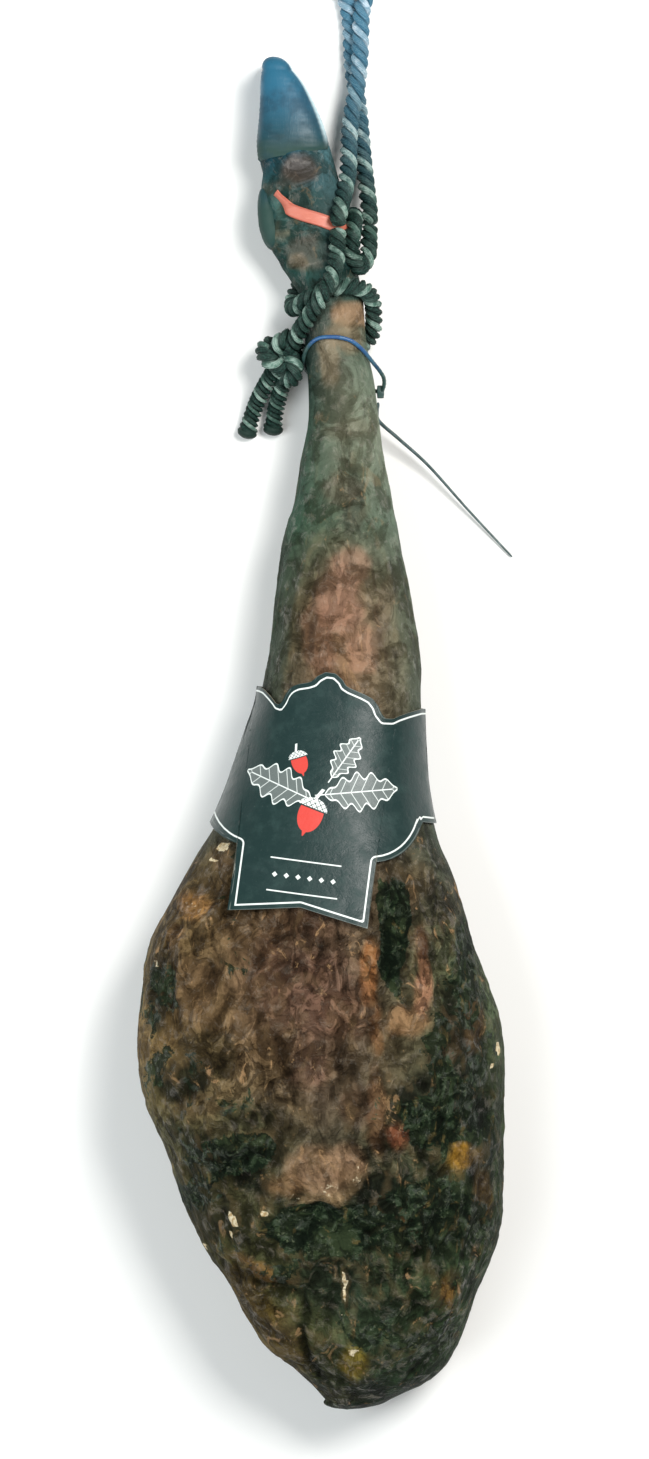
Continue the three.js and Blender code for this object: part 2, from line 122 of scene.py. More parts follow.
TAIL_START = (-0.024, 0.660, 0.030)  # inside the knot
# The knot's centreline is a trefoil: x = sin t + 2 sin 2t, y = cos t - 2 cos 2t, z = -sin 3t, sized here.
KNOT_REACH = (0.0038, 0.0050, 0.0066)
KNOT_TURN = 0.35
KNOT_SHIFT = np.array([0.001, 0.003, 0])


def rail(rows, t):
    """A Catmull-Rom curve through rows of numbers, at t = 0, 1, 2 and so on.

    Between two rows it is a cubic, and at a row its slope is half the step between that row's
    neighbours. Before the first row and after the last, the end step is repeated.
    """
    rows = np.asarray(rows, float)
    padded = np.vstack([2 * rows[:1] - rows[1:2], rows, 2 * rows[-1:] - rows[-2:-1]])
    i = np.clip(np.floor(t).astype(int), 0, len(rows) - 2)
    f = (t - i)[..., None]
    a, b, c, d = padded[i], padded[i + 1], padded[i + 2], padded[i + 3]
    return b + 0.5 * f * (c - a + f * (2 * a - 5 * b + 4 * c - d + f * (3 * b - a - 3 * c + d)))


def resampled(fine, spacing, end_round=0.0):
    """Points at even distances along a fine polyline, closer together at its ends if they're rounded.

    The distance along is the sum of the chords. Near a rounded end the steps follow 1 - cos, so that
    a dome of the length end_round has rows of even height.
    """
    along = np.r_[0, np.cumsum(np.linalg.norm(np.diff(fine, axis=0), axis=1))]
    length = along[-1]
    at = np.linspace(end_round, length - end_round, max(3, round((length - 2 * end_round) / spacing) + 1))
    if end_round:
        near = end_round * (1 - np.cos(np.linspace(0, np.pi / 2, 7)[:-1]))
        at = np.r_[near, at, length - near[::-1]]
    return np.stack([np.interp(at, along, fine[:, k]) for k in range(3)], 1), at


def through(points):
    """The design's points in the frame, joined by a fine smooth polyline."""
    t = np.linspace(0, len(points) - 1, 40 * (len(points) - 1) + 1)
    return rail(points, t) + origin


def unit(vectors):
    return vectors / np.maximum(np.linalg.norm(vectors, axis=-1, keepdims=True), 1e-12)


def turned_flat(points, angle):
    """The points turned by an angle in radians about the upright axis."""
    c, s = np.cos(angle), np.sin(angle)
    return points @ np.array([[c, s, 0], [-s, c, 0], [0, 0, 1]])


def carried_frame(path):
    """The path's direction, and two directions square to it that turn with it but never about it.

    A first pair comes from crossing the direction with the axis it is least along. Each pair is then
    carried to the next point by the smallest turn, and the angles that are left over are added up and
    turned back.
    """
    ahead = unit(np.gradient(path, axis=0))
    side = unit(np.cross(ahead, np.eye(3)[np.abs(ahead).argmin(1)]))
    up = np.cross(ahead, side)
    now, after = ahead[:-1], ahead[1:]
    turn = np.cross(now, after)
    agree = (now * after).sum(1, keepdims=True)
    carried = side[:-1] * agree + np.cross(turn, side[:-1])
    carried += turn * (turn * side[:-1]).sum(1, keepdims=True) / (1 + agree)
    left_over = np.arctan2((carried * up[1:]).sum(1), (carried * side[1:]).sum(1))
    angle = np.r_[0, np.cumsum(left_over)][:, None]
    return ahead, side * np.cos(angle) + up * np.sin(angle), up * np.cos(angle) - side * np.sin(angle)


def smooth(low, high, x):
    """0 below low, 1 above high, and 3x² - 2x³ of the way between."""
    x = np.clip((x - low) / (high - low), 0, 1)
    return x * x * (3 - 2 * x)


def grid_piece(name, grid, material, values=None, poles=True):
    """Makes a piece from a grid of points whose columns close round it.

    With poles, the first and last rows are each one point, closed by a fan of triangles. Without
    them the rows close round too, as on a ring. The faces are turned so that the volume they enclose,
    the sum of a . (b x c) over their corners, is positive. values are numbers or colours for each
    point, kept as attributes.
    """
    rows, columns = grid.shape[:2]
    number = np.arange(rows * columns).reshape(rows, columns)
    keep = np.ones((rows, columns), bool)
    if poles:
        number = np.vstack([np.zeros((1, columns), int), 1 + number[:rows - 2],
                            np.full((1, columns), 1 + (rows - 2) * columns)])
        keep[[0, -1], 1:] = False
    else:
        number = np.vstack([number, number[:1]])
    after = np.roll(number, -1, 1)
    quads = np.stack([number[:-1], after[:-1], after[1:], number[1:]], -1)
    points = grid[keep]
    corners = quads[1:-1] if poles else quads
    a, b, c, d = np.moveaxis(points[corners.reshape(-1, 4)], 1, 0)
    inside_out = (a * np.cross(b, c) + a * np.cross(c, d)).sum() < 0
    faces = corners.reshape(-1, 4)
    fans = np.vstack([quads[0][:, [0, 2, 3]], quads[-1][:, :3]]) if poles else np.zeros((0, 3), int)
    if inside_out:
        faces, fans = faces[:, ::-1], fans[:, ::-1]
    mesh = bpy.data.meshes.new(name)
    mesh.from_pydata(points.tolist(), [], faces.tolist() + fans.tolist())
    mesh.shade_smooth()
    for key, value in (values or {}).items():
        value = np.broadcast_to(value, (rows, columns) + np.shape(value)[2:])[keep]
        if value.ndim == 1:
            mesh.attributes.new(key, "FLOAT", "POINT").data.foreach_set("value", value)
        else:
            rgba = np.c_[value, np.ones(len(value))]
            mesh.attributes.new(key, "FLOAT_COLOR", "POINT").data.foreach_set("color", rgba.ravel())
    mesh.materials.append(material)
    piece = bpy.data.objects.new(name, mesh)
    scene.collection.objects.link(piece)
    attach(piece, "root")
    return piece


def laid_strands(path, at, lay, phase, melted):
    """Three strands wound round a path, as a grid of points with what the rope's material reads.

    The outline at the angle a from a strand is that strand's far side, c·cos a + √(w² - c²·sin² a),
    for a strand of radius w whose middle is c out. It turns once in each lay, and small ridges, the
    yarns, wind the other way over each strand. A melted end has its strands fused in a dark bulb.
    """
    length = at[-1]
    column = 2 * np.pi * np.arange(3 * STRAND_COLUMNS) / (3 * STRAND_COLUMNS)
    across = np.mod(column, 2 * np.pi / 3) - np.pi / 3
    outline = STRAND_OUT * np.cos(across) + np.sqrt(STRAND_RADIUS**2 - (STRAND_OUT * np.sin(across))**2)
    on_strand = np.arctan2(outline * np.sin(across), outline * np.cos(across) - STRAND_OUT)
    along = at[:, None]
    yarn = np.cos(YARNS * on_strand[None] + 2 * np.pi * along / lay * 1.6)
    reach = outline[None] + YARN_HEIGHT * yarn
    from_ends = np.minimum(along if melted[0] else np.inf, length - along if melted[1] else np.inf)
    fused = 1 - smooth(0.0030, 0.0075, from_ends)
    bulb = 1 + 0.24 * np.exp(-((from_ends - 0.0042) / 0.0032)**2)
    reach = (reach + (0.93 * ROPE_RADIUS - reach) * fused) * bulb
    dome = np.clip(np.minimum(along, length - along) / END_ROUND, 0, 1)
    reach = reach * np.sqrt(1 - (1 - dome)**2)
    angle = column[None] - 2 * np.pi * along / lay + phase
    ahead, side, up = carried_frame(path)
    grid = path[:, None] + reach[..., None] * (
        side[:, None] * np.cos(angle)[..., None] + up[:, None] * np.sin(angle)[..., None])
    grid[..., 2] = np.maximum(grid[..., 2], PRESSED_TO)
    strand = np.floor(column / (2 * np.pi / 3) + 1e-6)
    return grid, {
        "pale_strand": np.choose(strand.astype(int), [1.0, 0.0, 0.10])[None] * (1 - fused),
        # painted shade: darkest deep in the grooves between the strands
        "groove_shade": (1 - smooth(0.56, 0.80, outline / ROPE_RADIUS))[None] * (1 - 0.6 * fused),
        "yarn": 0.5 + 0.5 * yarn * (1 - fused),
        "melted": fused,
        "weathered": smooth(0.735, 0.88, (path[:, 1] - origin[1]))[:, None],
    }


class Field:
    """A number that varies over a surface, as a shader socket. Arithmetic on it adds Math nodes."""

    def __init__(self, tree, socket):
        self.tree, self.socket = tree, socket

    def math(self, operation, *others, swap=False):
        node = self.tree.nodes.new("ShaderNodeMath")
        node.operation = operation
        values = (self,) + others
        for slot, value in zip(node.inputs, reversed(values) if swap else values):
            if isinstance(value, Field):
                self.tree.links.new(value.socket, slot)
            else:
                slot.default_value = value
        return Field(self.tree, node.outputs[0])

    def __add__(self, other):
        return self.math("ADD", other)

    def __sub__(self, other):
        return self.math("SUBTRACT", other)

    def __rsub__(self, other):
        return self.math("SUBTRACT", other, swap=True)

    def __mul__(self, other):
        return self.math("MULTIPLY", other)

    __radd__, __rmul__ = __add__, __mul__

    def above(self, low, high):
        """0 below low, 1 above high, with a smooth step between. With low over high it falls."""
        node = self.tree.nodes.new("ShaderNodeMapRange")
        node.interpolation_type = "SMOOTHSTEP"
        self.tree.links.new(self.socket, node.inputs["Value"])
        node.inputs["From Min"].default_value = low
        node.inputs["From Max"].default_value = high
        return Field(self.tree, node.outputs["Result"])


class Finish:
    """A procedural material on the piece's own Object coordinates and attributes."""

    def __init__(self, name, **sockets):
        self.material = bpy.data.materials.new(name)
        self.material.use_nodes = True
        self.tree = self.material.node_tree
        self.shader = self.tree.nodes["Principled BSDF"]
        self.place = self.tree.nodes.new("ShaderNodeTexCoord").outputs["Object"]
        for socket, value in sockets.items():
            self.shader.inputs[socket.replace("_", " ")].default_value = value

    def attribute(self, name, part="Fac"):
        node = self.tree.nodes.new("ShaderNodeAttribute")
        node.attribute_name = name
        return Field(self.tree, node.outputs[part])

    def noise(self, size, detail=4.0, rough=0.6, stretch=(1, 1, 1), warp=0.0, kind="FBM"):
        """Cloudy noise, 0 to 1, whose largest blots are about size metres, drawn out by stretch."""
        mapping = self.tree.nodes.new("ShaderNodeMapping")
        mapping.inputs["Scale"].default_value = [1 / (size * s) for s in stretch]
        self.tree.links.new(self.place, mapping.inputs["Vector"])
        node = self.tree.nodes.new("ShaderNodeTexNoise")
        node.noise_type = kind
        if kind != "FBM":
            node.inputs["Offset"].default_value = 1
            node.inputs["Gain"].default_value = 1.6
        node.inputs["Scale"].default_value = 1
        node.inputs["Detail"].default_value = detail
        node.inputs["Roughness"].default_value = rough
        node.inputs["Distortion"].default_value = warp
        self.tree.links.new(mapping.outputs[0], node.inputs["Vector"])
        return Field(self.tree, node.outputs[0])

    def mix(self, amount, base, top, way="MIX"):
        """The base colour with the top colour over it, by an amount that is a number or a Field."""
        node = self.tree.nodes.new("ShaderNodeMix")
        node.data_type, node.blend_type = "RGBA", way
        for slot, value in ((node.inputs[0], amount), (node.inputs[6], base), (node.inputs[7], top)):
            if isinstance(value, Field):
                self.tree.links.new(value.socket, slot)
            elif isinstance(value, str):
                slot.default_value = (*colour(value), 1)
            else:
                slot.default_value = value
        return Field(self.tree, node.outputs[2])

    def set(self, socket, field):
        self.tree.links.new(field.socket, self.shader.inputs[socket])

    def relief(self, height, depth):
        """Bumps the surface by a field times a depth in metres."""
        node = self.tree.nodes.new("ShaderNodeBump")
        node.inputs["Strength"].default_value = 1
        node.inputs["Distance"].default_value = depth
        self.tree.links.new(height.socket, node.inputs["Height"])
        self.tree.links.new(node.outputs[0], self.shader.inputs["Normal"])


def colour(hex_code):
    """A six-digit colour as three linear numbers: ((s + 0.055) / 1.055)^2.4 of each share s."""
    share = np.array([int(hex_code[k:k + 2], 16) for k in (0, 2, 4)]) / 255
    return np.where(share <= 0.04045, share / 12.92, ((share + 0.055) / 1.055)**2.4)


rope = Finish("laid_rope", Roughness=0.62, Specular_IOR_Level=0.25)
fibres = rope.noise(0.0012, 3, 0.7)
frays = rope.noise(0.0032, 4, 0.7)
soiling = rope.noise(0.016, 5, 0.65)
weathered = rope.attribute("weathered")
dark_strand = rope.mix(weathered, "0f2621", "457a94")
dark_strand = rope.mix(fibres.above(0.42, 0.72) * 0.8, dark_strand, rope.mix(weathered, "2f544a", "7096aa"))
pale_strand = rope.mix(weathered, "8ba398", "c4d6e4")
pale_strand = rope.mix(frays.above(0.50, 0.60) * 0.8, pale_strand, rope.mix(weathered, "4a7264", "8db0c4"))
pale_strand = rope.mix(soiling.above(0.43, 0.56) * 0.85, pale_strand, rope.mix(weathered, "2c4c42", "7ba0b4"))
strands = rope.mix(rope.attribute("pale_strand"), dark_strand, pale_strand)
# Painted shade: the grooves between the strands are darkened.
strands = rope.mix(rope.attribute("groove_shade") * 0.75, strands, rope.mix(weathered, "0c1d19", "2c566c"))
# Painted shade: the troughs between the yarns are darkened.
strands = rope.mix((1 - rope.attribute("yarn")) * 0.30, strands, rope.mix(1, strands, "6a7f78", "MULTIPLY"))
rope.set("Base Color", rope.mix(rope.attribute("melted"), strands, "1c3029"))
rope.relief(fibres + rope.attribute("yarn") * 0.6, 0.0004)


def rope_piece(name, route, lay, phase=0.0, melted=(False, False)):
    fine = route if isinstance(route, np.ndarray) else through(route)
    path, at = resampled(fine, ROPE_STEP, END_ROUND)
    grid, values = laid_strands(path, at, lay, phase, melted)
    piece = grid_piece(name, grid, rope.material, values)
    return piece, path[::8]


rope_loop, loop_path = rope_piece("rope_loop_laid", LOOP_ROUTE, ROPE_LAY)
rope_front, _ = rope_piece("rope_front_laid", FRONT_ROUTE, KNOT_LAY, 1.0)
rope_turn, _ = rope_piece("rope_turn_laid", TURN_ROUTE, KNOT_LAY, 0.5)
t = np.linspace(0, 2 * np.pi, 400) + 0.6
trefoil = np.stack([np.sin(t) + 2 * np.sin(2 * t), np.cos(t) - 2 * np.cos(2 * t), -np.sin(3 * t)], 1)
knot_path = turned_flat(trefoil * KNOT_REACH, KNOT_TURN) + KNOT_CENTRE + KNOT_SHIFT + origin
rope_knot, _ = rope_piece("rope_knot_tied", knot_path, KNOT_LAY, 0.8)
end_left, left_path = rope_piece("rope_end_left", [TAIL_START, KNOT_CENTRE] + TAIL_LEFT_ROUTE[::-1],
                                 TAIL_LAY, 0.2, (False, True))
end_right, right_path = rope_piece("rope_end_right", [TAIL_START, KNOT_CENTRE] + TAIL_RIGHT_ROUTE[::-1],
                                   TAIL_LAY, 2.2, (False, True))
for piece, node in ((rope_loop, "rope_loop"), (rope_front, "rope_front"), (rope_turn, "rope_turn"),
                    (rope_knot, "rope_knot"), (end_left, "rope_tail_left"), (end_right, "rope_tail_right")):
    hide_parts(node)

# ---- Tie's free end ----
# The tie is a thin nylon strap drawn up round the shank. Its stiff, grey-green free end stands out from
# the lock, comes down beside the leg and tapers to a blunt tip.
TIE_RADIUS = 0.00125
TIP_RADIUS = 0.00062
TIE_TAIL_ROUTE = [
    (0.0336, 0.6275, 0.0255), (0.0328, 0.622, 0.0215), (0.0342, 0.616, 0.0185), (0.0468, 0.605, 0.014),
    (0.0654, 0.5884, 0.0095), (0.0902, 0.561, 0.0045), (0.118, 0.5314, 0.0016),
]

nylon = Finish("tie_nylon", Roughness=0.38)
grain = nylon.noise(0.006, 4, 0.6)
nylon.set("Base Color", nylon.mix(grain.above(0.4, 0.7), "2c4344", "56696a"))
nylon.relief(nylon.noise(0.0012, 2), 0.0002)


def round_rod(path, at, radius_start, radius_end, columns=20):
    """A circle carried along a path, its radius running evenly from one end's to the other's.

    Each end is a dome: over the last stretch, the radius is √(1 - (1 - d)²) of itself, d being the
    distance from the end as a share of END_ROUND.
    """
    share = at / at[-1]
    dome = np.clip(np.minimum(at, at[-1] - at) / END_ROUND, 0, 1)
    radius = (radius_start + (radius_end - radius_start) * share) * np.sqrt(1 - (1 - dome)**2)
    angle = 2 * np.pi * np.arange(columns) / columns
    ahead, side, up = carried_frame(path)
    ring = side[:, None] * np.cos(angle)[:, None] + up[:, None] * np.sin(angle)[:, None]
    return path[:, None] + ring * radius[:, None, None]


tail_path, tail_at = resampled(through(TIE_TAIL_ROUTE), 0.0012, END_ROUND)
tie_end = grid_piece("tie_end", round_rod(tail_path, tail_at, TIE_RADIUS, TIP_RADIUS), nylon.material)
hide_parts("tie_tail")

# ---- Ham ----
# The leg grew as one piece: rump, thigh, shank and foot. Its inner face is cut open in a long V and has
# dried brown and creased, with dark green mould. The rest is yellow-brown rind that it lies on.
SECTION_POWER = 2.3  # 2 is an ellipse, more is squarer
WIDEST_HEIGHT = 0.45  # where a section is widest, as a share of its height
WIDEST_STATION = 7.0  # the station whose rim the columns are set out on
HAM_ROWS = 416
HAM_COLUMNS = 224
DEWCLAW_CENTRE = np.array([-0.035, 0.742, 0.035])  # the skin swells round it
DEWCLAW_RADII = np.array([0.0065, 0.019, 0.008])
DEWCLAW_LEAN = 0.2
THIGH_ROWS, THIGH_TOP = 0.62, 0.36  # the share of the rows that lies below this y
UNDERSIDE_SHARE = 0.38  # how closely the underside is divided, against the upper side
CARD_ZONE = (0.300, 0.462)  # the skin under the card stays flat enough to clear it
FITTED_ZONE = 0.600  # above this, rope and tie lie close on the skin
ZONE_EASE = 0.02  # the stretch over which a zone sets in
# Left edge x and y, right edge x and y, and the heights of the underside and the top.
LEG_STATIONS = [
    (0.0, 0.006, 0.041, 0.006, 0.022, 0.066), (-0.015, 0.022, 0.072, 0.022, 0.007, 0.088),
    (-0.038, 0.045, 0.087, 0.047, -0.002, 0.104), (-0.057, 0.074, 0.095, 0.071, -0.006, 0.117),
    (-0.077, 0.107, 0.107, 0.108, -0.008, 0.128), (-0.097, 0.156, 0.11, 0.147, -0.009, 0.136),
    (-0.114, 0.193, 0.111, 0.187, -0.009, 0.14), (-0.117, 0.231, 0.108, 0.231, -0.009, 0.141),
    (-0.111, 0.28, 0.097, 0.279, -0.008, 0.138), (-0.098, 0.311, 0.088, 0.31, -0.004, 0.132),
    (-0.08, 0.344, 0.078, 0.337, 0.0, 0.126), (-0.066, 0.367, 0.07, 0.356, 0.003, 0.12),
    (-0.051, 0.404, 0.0625, 0.393, 0.006, 0.111), (-0.039, 0.447, 0.06, 0.437, 0.009, 0.102),
    (-0.034, 0.472, 0.059, 0.466, 0.011, 0.095), (-0.03, 0.503, 0.054, 0.5, 0.013, 0.088),
    (-0.025, 0.541, 0.047, 0.536, 0.015, 0.08), (-0.018, 0.565, 0.042, 0.562, 0.016, 0.075),
    (-0.014, 0.59, 0.037, 0.588, 0.016, 0.07), (-0.01, 0.615, 0.034, 0.614, 0.015, 0.064),
    (-0.01, 0.637, 0.031, 0.639, 0.0135, 0.058), (-0.012, 0.658, 0.027, 0.66, 0.012, 0.053),
    (-0.0125, 0.676, 0.025, 0.678, 0.011, 0.05), (-0.0145, 0.692, 0.024, 0.695, 0.01, 0.049),
    (-0.0215, 0.704, 0.021, 0.708, 0.01, 0.0485), (-0.029, 0.717, 0.016, 0.727, 0.01, 0.048),
    (-0.033, 0.742, 0.013, 0.75, 0.009, 0.047), (-0.037, 0.764, 0.008, 0.771, 0.006, 0.047),
    (-0.041, 0.781, 0.003, 0.788, 0.003, 0.0465),
]
RUMP_TIP = (0.014, 0.0, 0.044)

# The upper side's colours, set for each zone of the leg: y, then left, middle and right.
TONES = [
    (0.000, "1c2a18", "1e3020", "182818"),  # the rump's tip, green-black with mould
    (0.050, "5a5228", "44543c", "34482c"),  # the rump's flap, olive brown on the left
    (0.120, "403f26", "3c422e", "2a3c26"),
    (0.175, "686442", "58503f", "3a4830"),  # the thigh's dried flesh, browner upwards
    (0.230, "947a4e", "745c4a", "4c5c40"),
    (0.270, "7a6842", "7a5c4c", "607050"),
    (0.320, "6a5838", "68503e", "464e3e"),
    (0.430, "3c463a", "80664e", "5a6050"),
    (0.500, "243c2c", "86684e", "727a66"),  # the shank's bare warm flesh
    (0.550, "30503f", "54604e", "627262"),
    (0.610, "344e40", "767c6a", "7c8572"),
    (0.670, "10282a", "5c6054", "4c6454"),  # the ankle, under the rope
    (0.710, "1c403a", "2c504c", "1c3836"),
    (0.750, "34605c", "3e4e4c", "385050"),  # the foot, slate green
    (0.785, "163f50", "1e4c58", "50767c"),
]
# The underside's colours, from the rump to the foot, and the y that each is at.
RIND_TONES = ["5c5030", "6a5836", "5a5640", "4e5a4c", "3a524e"]
RIND_TONE_Y = [0, 0.3, 0.5, 0.7, 0.8]
MM = 0.001  # the tables down to CUT_EDGES are in millimetres
# Patches on the upper side: colour, x, y, half width, half height, turn in degrees, strength.
DABS = [
    ("b0824c", -80.9, 314.3, 8.7, 9.9, 20, 0.9), ("8c6a48", -90.8, 295.7, 6.2, 8.7, 0, 0.6),
    ("a0683a", 27.6, 274, 6.2, 21.1, 2, 0.8), ("8a5c38", 31.3, 239.9, 3.7, 15.5, 2, 0.6),
    ("0e150e", 42.5, 292.6, 7.7, 31, -1, 0.95), ("a2765a", 59.5, 275, 5.6, 27, 1, 0.95),
    ("9c7450", 49.9, 244.3, 14.9, 8.7, 10, 0.65), ("7e6050", -4, 264.7, 31, 24.8, 0, 0.5),
    ("8a6a58", -9, 217, 12.4, 13.6, 0, 0.55), ("7a5844", 12.7, 249.2, 18.6, 16.1, 0, 0.5),
    ("4a3a2c", -15.2, 292.6, 31, 6.2, 0, 0.7), ("583f30", -33.8, 270.9, 12.4, 24.8, 8, 0.5),
    ("6a523a", -80.3, 264.7, 18.6, 21.1, 10, 0.6), ("1e2418", -100.8, 262.9, 8.1, 27.3, -8, 0.75),
    ("4a4630", -71, 224.4, 21.1, 14.9, 0, 0.6), ("1c2418", -87.1, 207.1, 22.3, 12.4, 12, 0.85),
    ("6e5a3e", -77.2, 193.4, 16.1, 7.4, 10, 0.5), ("141c12", -58.6, 158.4, 9.9, 42, 62, 0.85),
    ("333a26", -46.2, 187.2, 18.6, 11.2, 0, 0.6), ("8c6e54", -1.5, 152.5, 22.3, 16.1, -8, 0.75),
    ("9a7a5e", 13.3, 161.2, 10.5, 12.4, 0, 0.65), ("b09470", 0.9, 137.6, 2.8, 16.5, -77, 0.85),
    ("8a6a4a", -21.4, 143.8, 9.9, 6.2, 0, 0.6), ("a07628", 85.9, 162.4, 11.2, 8.1, 0, 0.95),
    ("6a5428", 77.8, 150, 8.7, 7.4, 0, 0.6), ("a8684c", 44.3, 174.8, 6.2, 8.7, 8, 0.9),
    ("6e4a30", 32.2, 190.3, 6.8, 27.9, 2, 0.6), ("5a4232", 18.9, 193.4, 11.2, 14.9, 0, 0.6),
    ("1a221a", 62.3, 193.4, 19.8, 21.1, 0, 0.8), ("18201a", 82.2, 224.4, 16.1, 43.4, 0, 0.8),
    ("18201a", 96.4, 168.6, 9.9, 37.2, 0, 0.8), ("6a5238", 90.2, 243, 7.4, 16.1, 0, 0.6),
    ("53442f", 71.6, 230.6, 9.9, 14.9, 0, 0.6), ("202a1e", 89, 295.7, 8.7, 31, -14, 0.75),
    ("4c4836", 77.8, 317.4, 8.7, 18.6, -16, 0.6), ("121a12", 40.6, 137.6, 24.8, 17.4, 0, 0.85),
    ("202a1e", 3.4, 117.8, 31, 13.6, 0, 0.85), ("18201a", -2.8, 128.3, 22.3, 5, 4, 0.8),
    ("2c3628", 65.4, 131.4, 27.3, 24.8, 0, 0.7), ("4a3e2c", 49.9, 112.8, 11.2, 8.7, 0, 0.5),
    ("6a4a2a", 46.8, 114.4, 3.7, 14.2, -10, 0.7), ("84602e", 73.5, 79.4, 3.1, 11.6, 16, 0.8),
    ("6e5430", 96.4, 137.6, 6.2, 16.1, 0, 0.5), ("5c4c2a", -52.4, 84.9, 11.2, 11.2, 0, 0.8),
    ("66562a", -38.7, 62, 9.9, 13.6, 30, 0.6), ("5a4c2a", -21.4, 35.3, 11.2, 13.6, 30, 0.7),
    ("5c4c26", -37.5, 59.2, 13.6, 31, 34, 0.85), ("8a6434", -37.5, 91.8, 3.7, 21.7, 66, 0.7),
    ("1c2618", -12.7, 59.2, 2.8, 17.7, 2, 0.6), ("1c2618", -5, 24.8, 2.8, 21.5, 23, 0.6),
    ("243024", 3.4, 88, 24.8, 24.8, 0, 0.7), ("2a3828", 34.4, 69.4, 24.8, 18.6, 0, 0.5),
    ("86742e", 17, 33.5, 9.3, 11.2, 0, 0.85), ("4a5a44", 46.8, 44.6, 18.6, 9.9, 0, 0.5),
    ("3e3a26", 12.7, 10.5, 14.9, 6.2, 0, 0.6), ("8a7a58", 12.1, 82.5, 2.5, 13.3, 11, 0.7),
    ("94785c", -102, 277.1, 5, 5, 0, 0.4), ("8a6c4c", -63.5, 345.3, 7.4, 7.4, 0, 0.7),
    ("7a6240", -49.3, 329.8, 9.9, 11.2, 0, 0.5), ("6a5a40", 56.1, 329.8, 12.4, 12.4, 0, 0.5),
    ("77604a", 49.9, 314.3, 5, 13.6, 0, 0.4), ("a48466", 17, 682, 12.4, 8.7, 0, 0.8),
    ("8d7a60", 12.7, 667.7, 11.2, 9.9, 0, 0.6), ("9c8a70", 3.4, 652.2, 7.4, 16.1, 0, 0.5),
    ("6a6250", 15.8, 608.8, 16.1, 6.2, 6, 0.4), ("5a5a4a", 15.8, 587.1, 2.8, 13.9, 63, 0.5),
    ("42443a", 17, 556.1, 7.4, 12.4, 0, 0.6), ("6c5e4e", 9.6, 571.6, 11.2, 9.9, 0, 0.4),
    ("a07a66", 9.6, 503.4, 14.9, 24.8, 0, 0.6), ("a8826c", 17, 525.1, 11.2, 9.9, 0, 0.5),
    ("8a6450", -4, 478.6, 9.9, 24.8, 6, 0.5), ("a98068", 23.2, 472.4, 11.2, 14.9, 0, 0.5),
    ("6a5a48", 37.5, 497.2, 5, 31, -8, 0.5), ("54463a", -7.7, 491, 1.9, 37.4, -6, 0.5),
    ("5c4a3c", 34.4, 491, 1.5, 37.5, 8, 0.4), ("6a5850", -15.2, 773.1, 12.4, 8.7, 0, 0.6),
    ("5c5248", -22.6, 763.8, 7.4, 6.2, 0, 0.5), ("2c4a48", -15.2, 754.5, 18.6, 6.2, -10, 0.6),
    ("60584e", -9, 720.4, 12.4, 12.4, 0, 0.6), ("2a4644", 3.4, 723.5, 6.2, 12.4, 0, 0.6),
    ("a8a894", -24.5, 731.6, 3.1, 2.5, 0, 0.7), ("7a6a54", -15.2, 714.2, 6.2, 5, 0, 0.5),
    ("2c4240", -28.8, 732.8, 5, 16.1, 6, 0.5), ("30443e", -15.2, 698.7, 11.2, 6.2, 0, 0.5),
]
# Dark mould, pale crystals and fat, and bare warm flesh: x, y, half width, half height, turn, amount.
MOULD = [
    (43.1, 298.8, 11.2, 34.1, 0, 1), (80.9, 230.6, 22.3, 55.8, 0, 0.52), (71.6, 181, 31, 24.8, 0, 0.6),
    (-52.4, 162.4, 34.7, 14.9, 12, 0.68), (3.4, 117.8, 40.9, 16.1, 0, 0.85),
    (59.2, 125.2, 43.4, 24.8, 0, 0.62), (3.4, 81.8, 37.2, 24.8, 0, 0.62), (46.8, 50.8, 37.2, 24.8, 0, 0.5),
    (-89.6, 218.2, 21.1, 16.1, 0, 0.5), (-102, 261.6, 11.2, 31, 0, 0.5),
    (-15.2, 249.2, 43.4, 37.2, 0, 0.12), (-9, 212, 24.8, 24.8, 0, 0.1), (-2.8, 153.1, 27.3, 16.1, 0, -0.1),
    (-36.9, 57, 21.1, 31, 35, 0.12), (59.2, 274, 11.2, 27.3, 0, 0.2), (-77.2, 305, 14.9, 14.9, 0, 0.15),
    (87.1, 162.4, 11.2, 8.7, 0, -0.1), (3.4, 75.6, 27.3, 28.5, 0, 0.3),
    (-77.2, 193.4, 37.2, 16.1, 20, 0.24), (15.8, 503.4, 28.5, 55.8, 0, -0.1),
    (49.9, 244.3, 14.9, 8.7, 0, 0.1), (90.2, 298.8, 11.2, 31, -12, 0.6), (-64.8, 199.6, 31, 12.4, 0, 0.36),
    (-77.2, 137.6, 18.6, 14.9, 20, 0.6), (-21.4, 19.8, 18.6, 6.2, 0, 0.3), (68.5, 80.6, 12.4, 14.9, 0, 0.2),
]
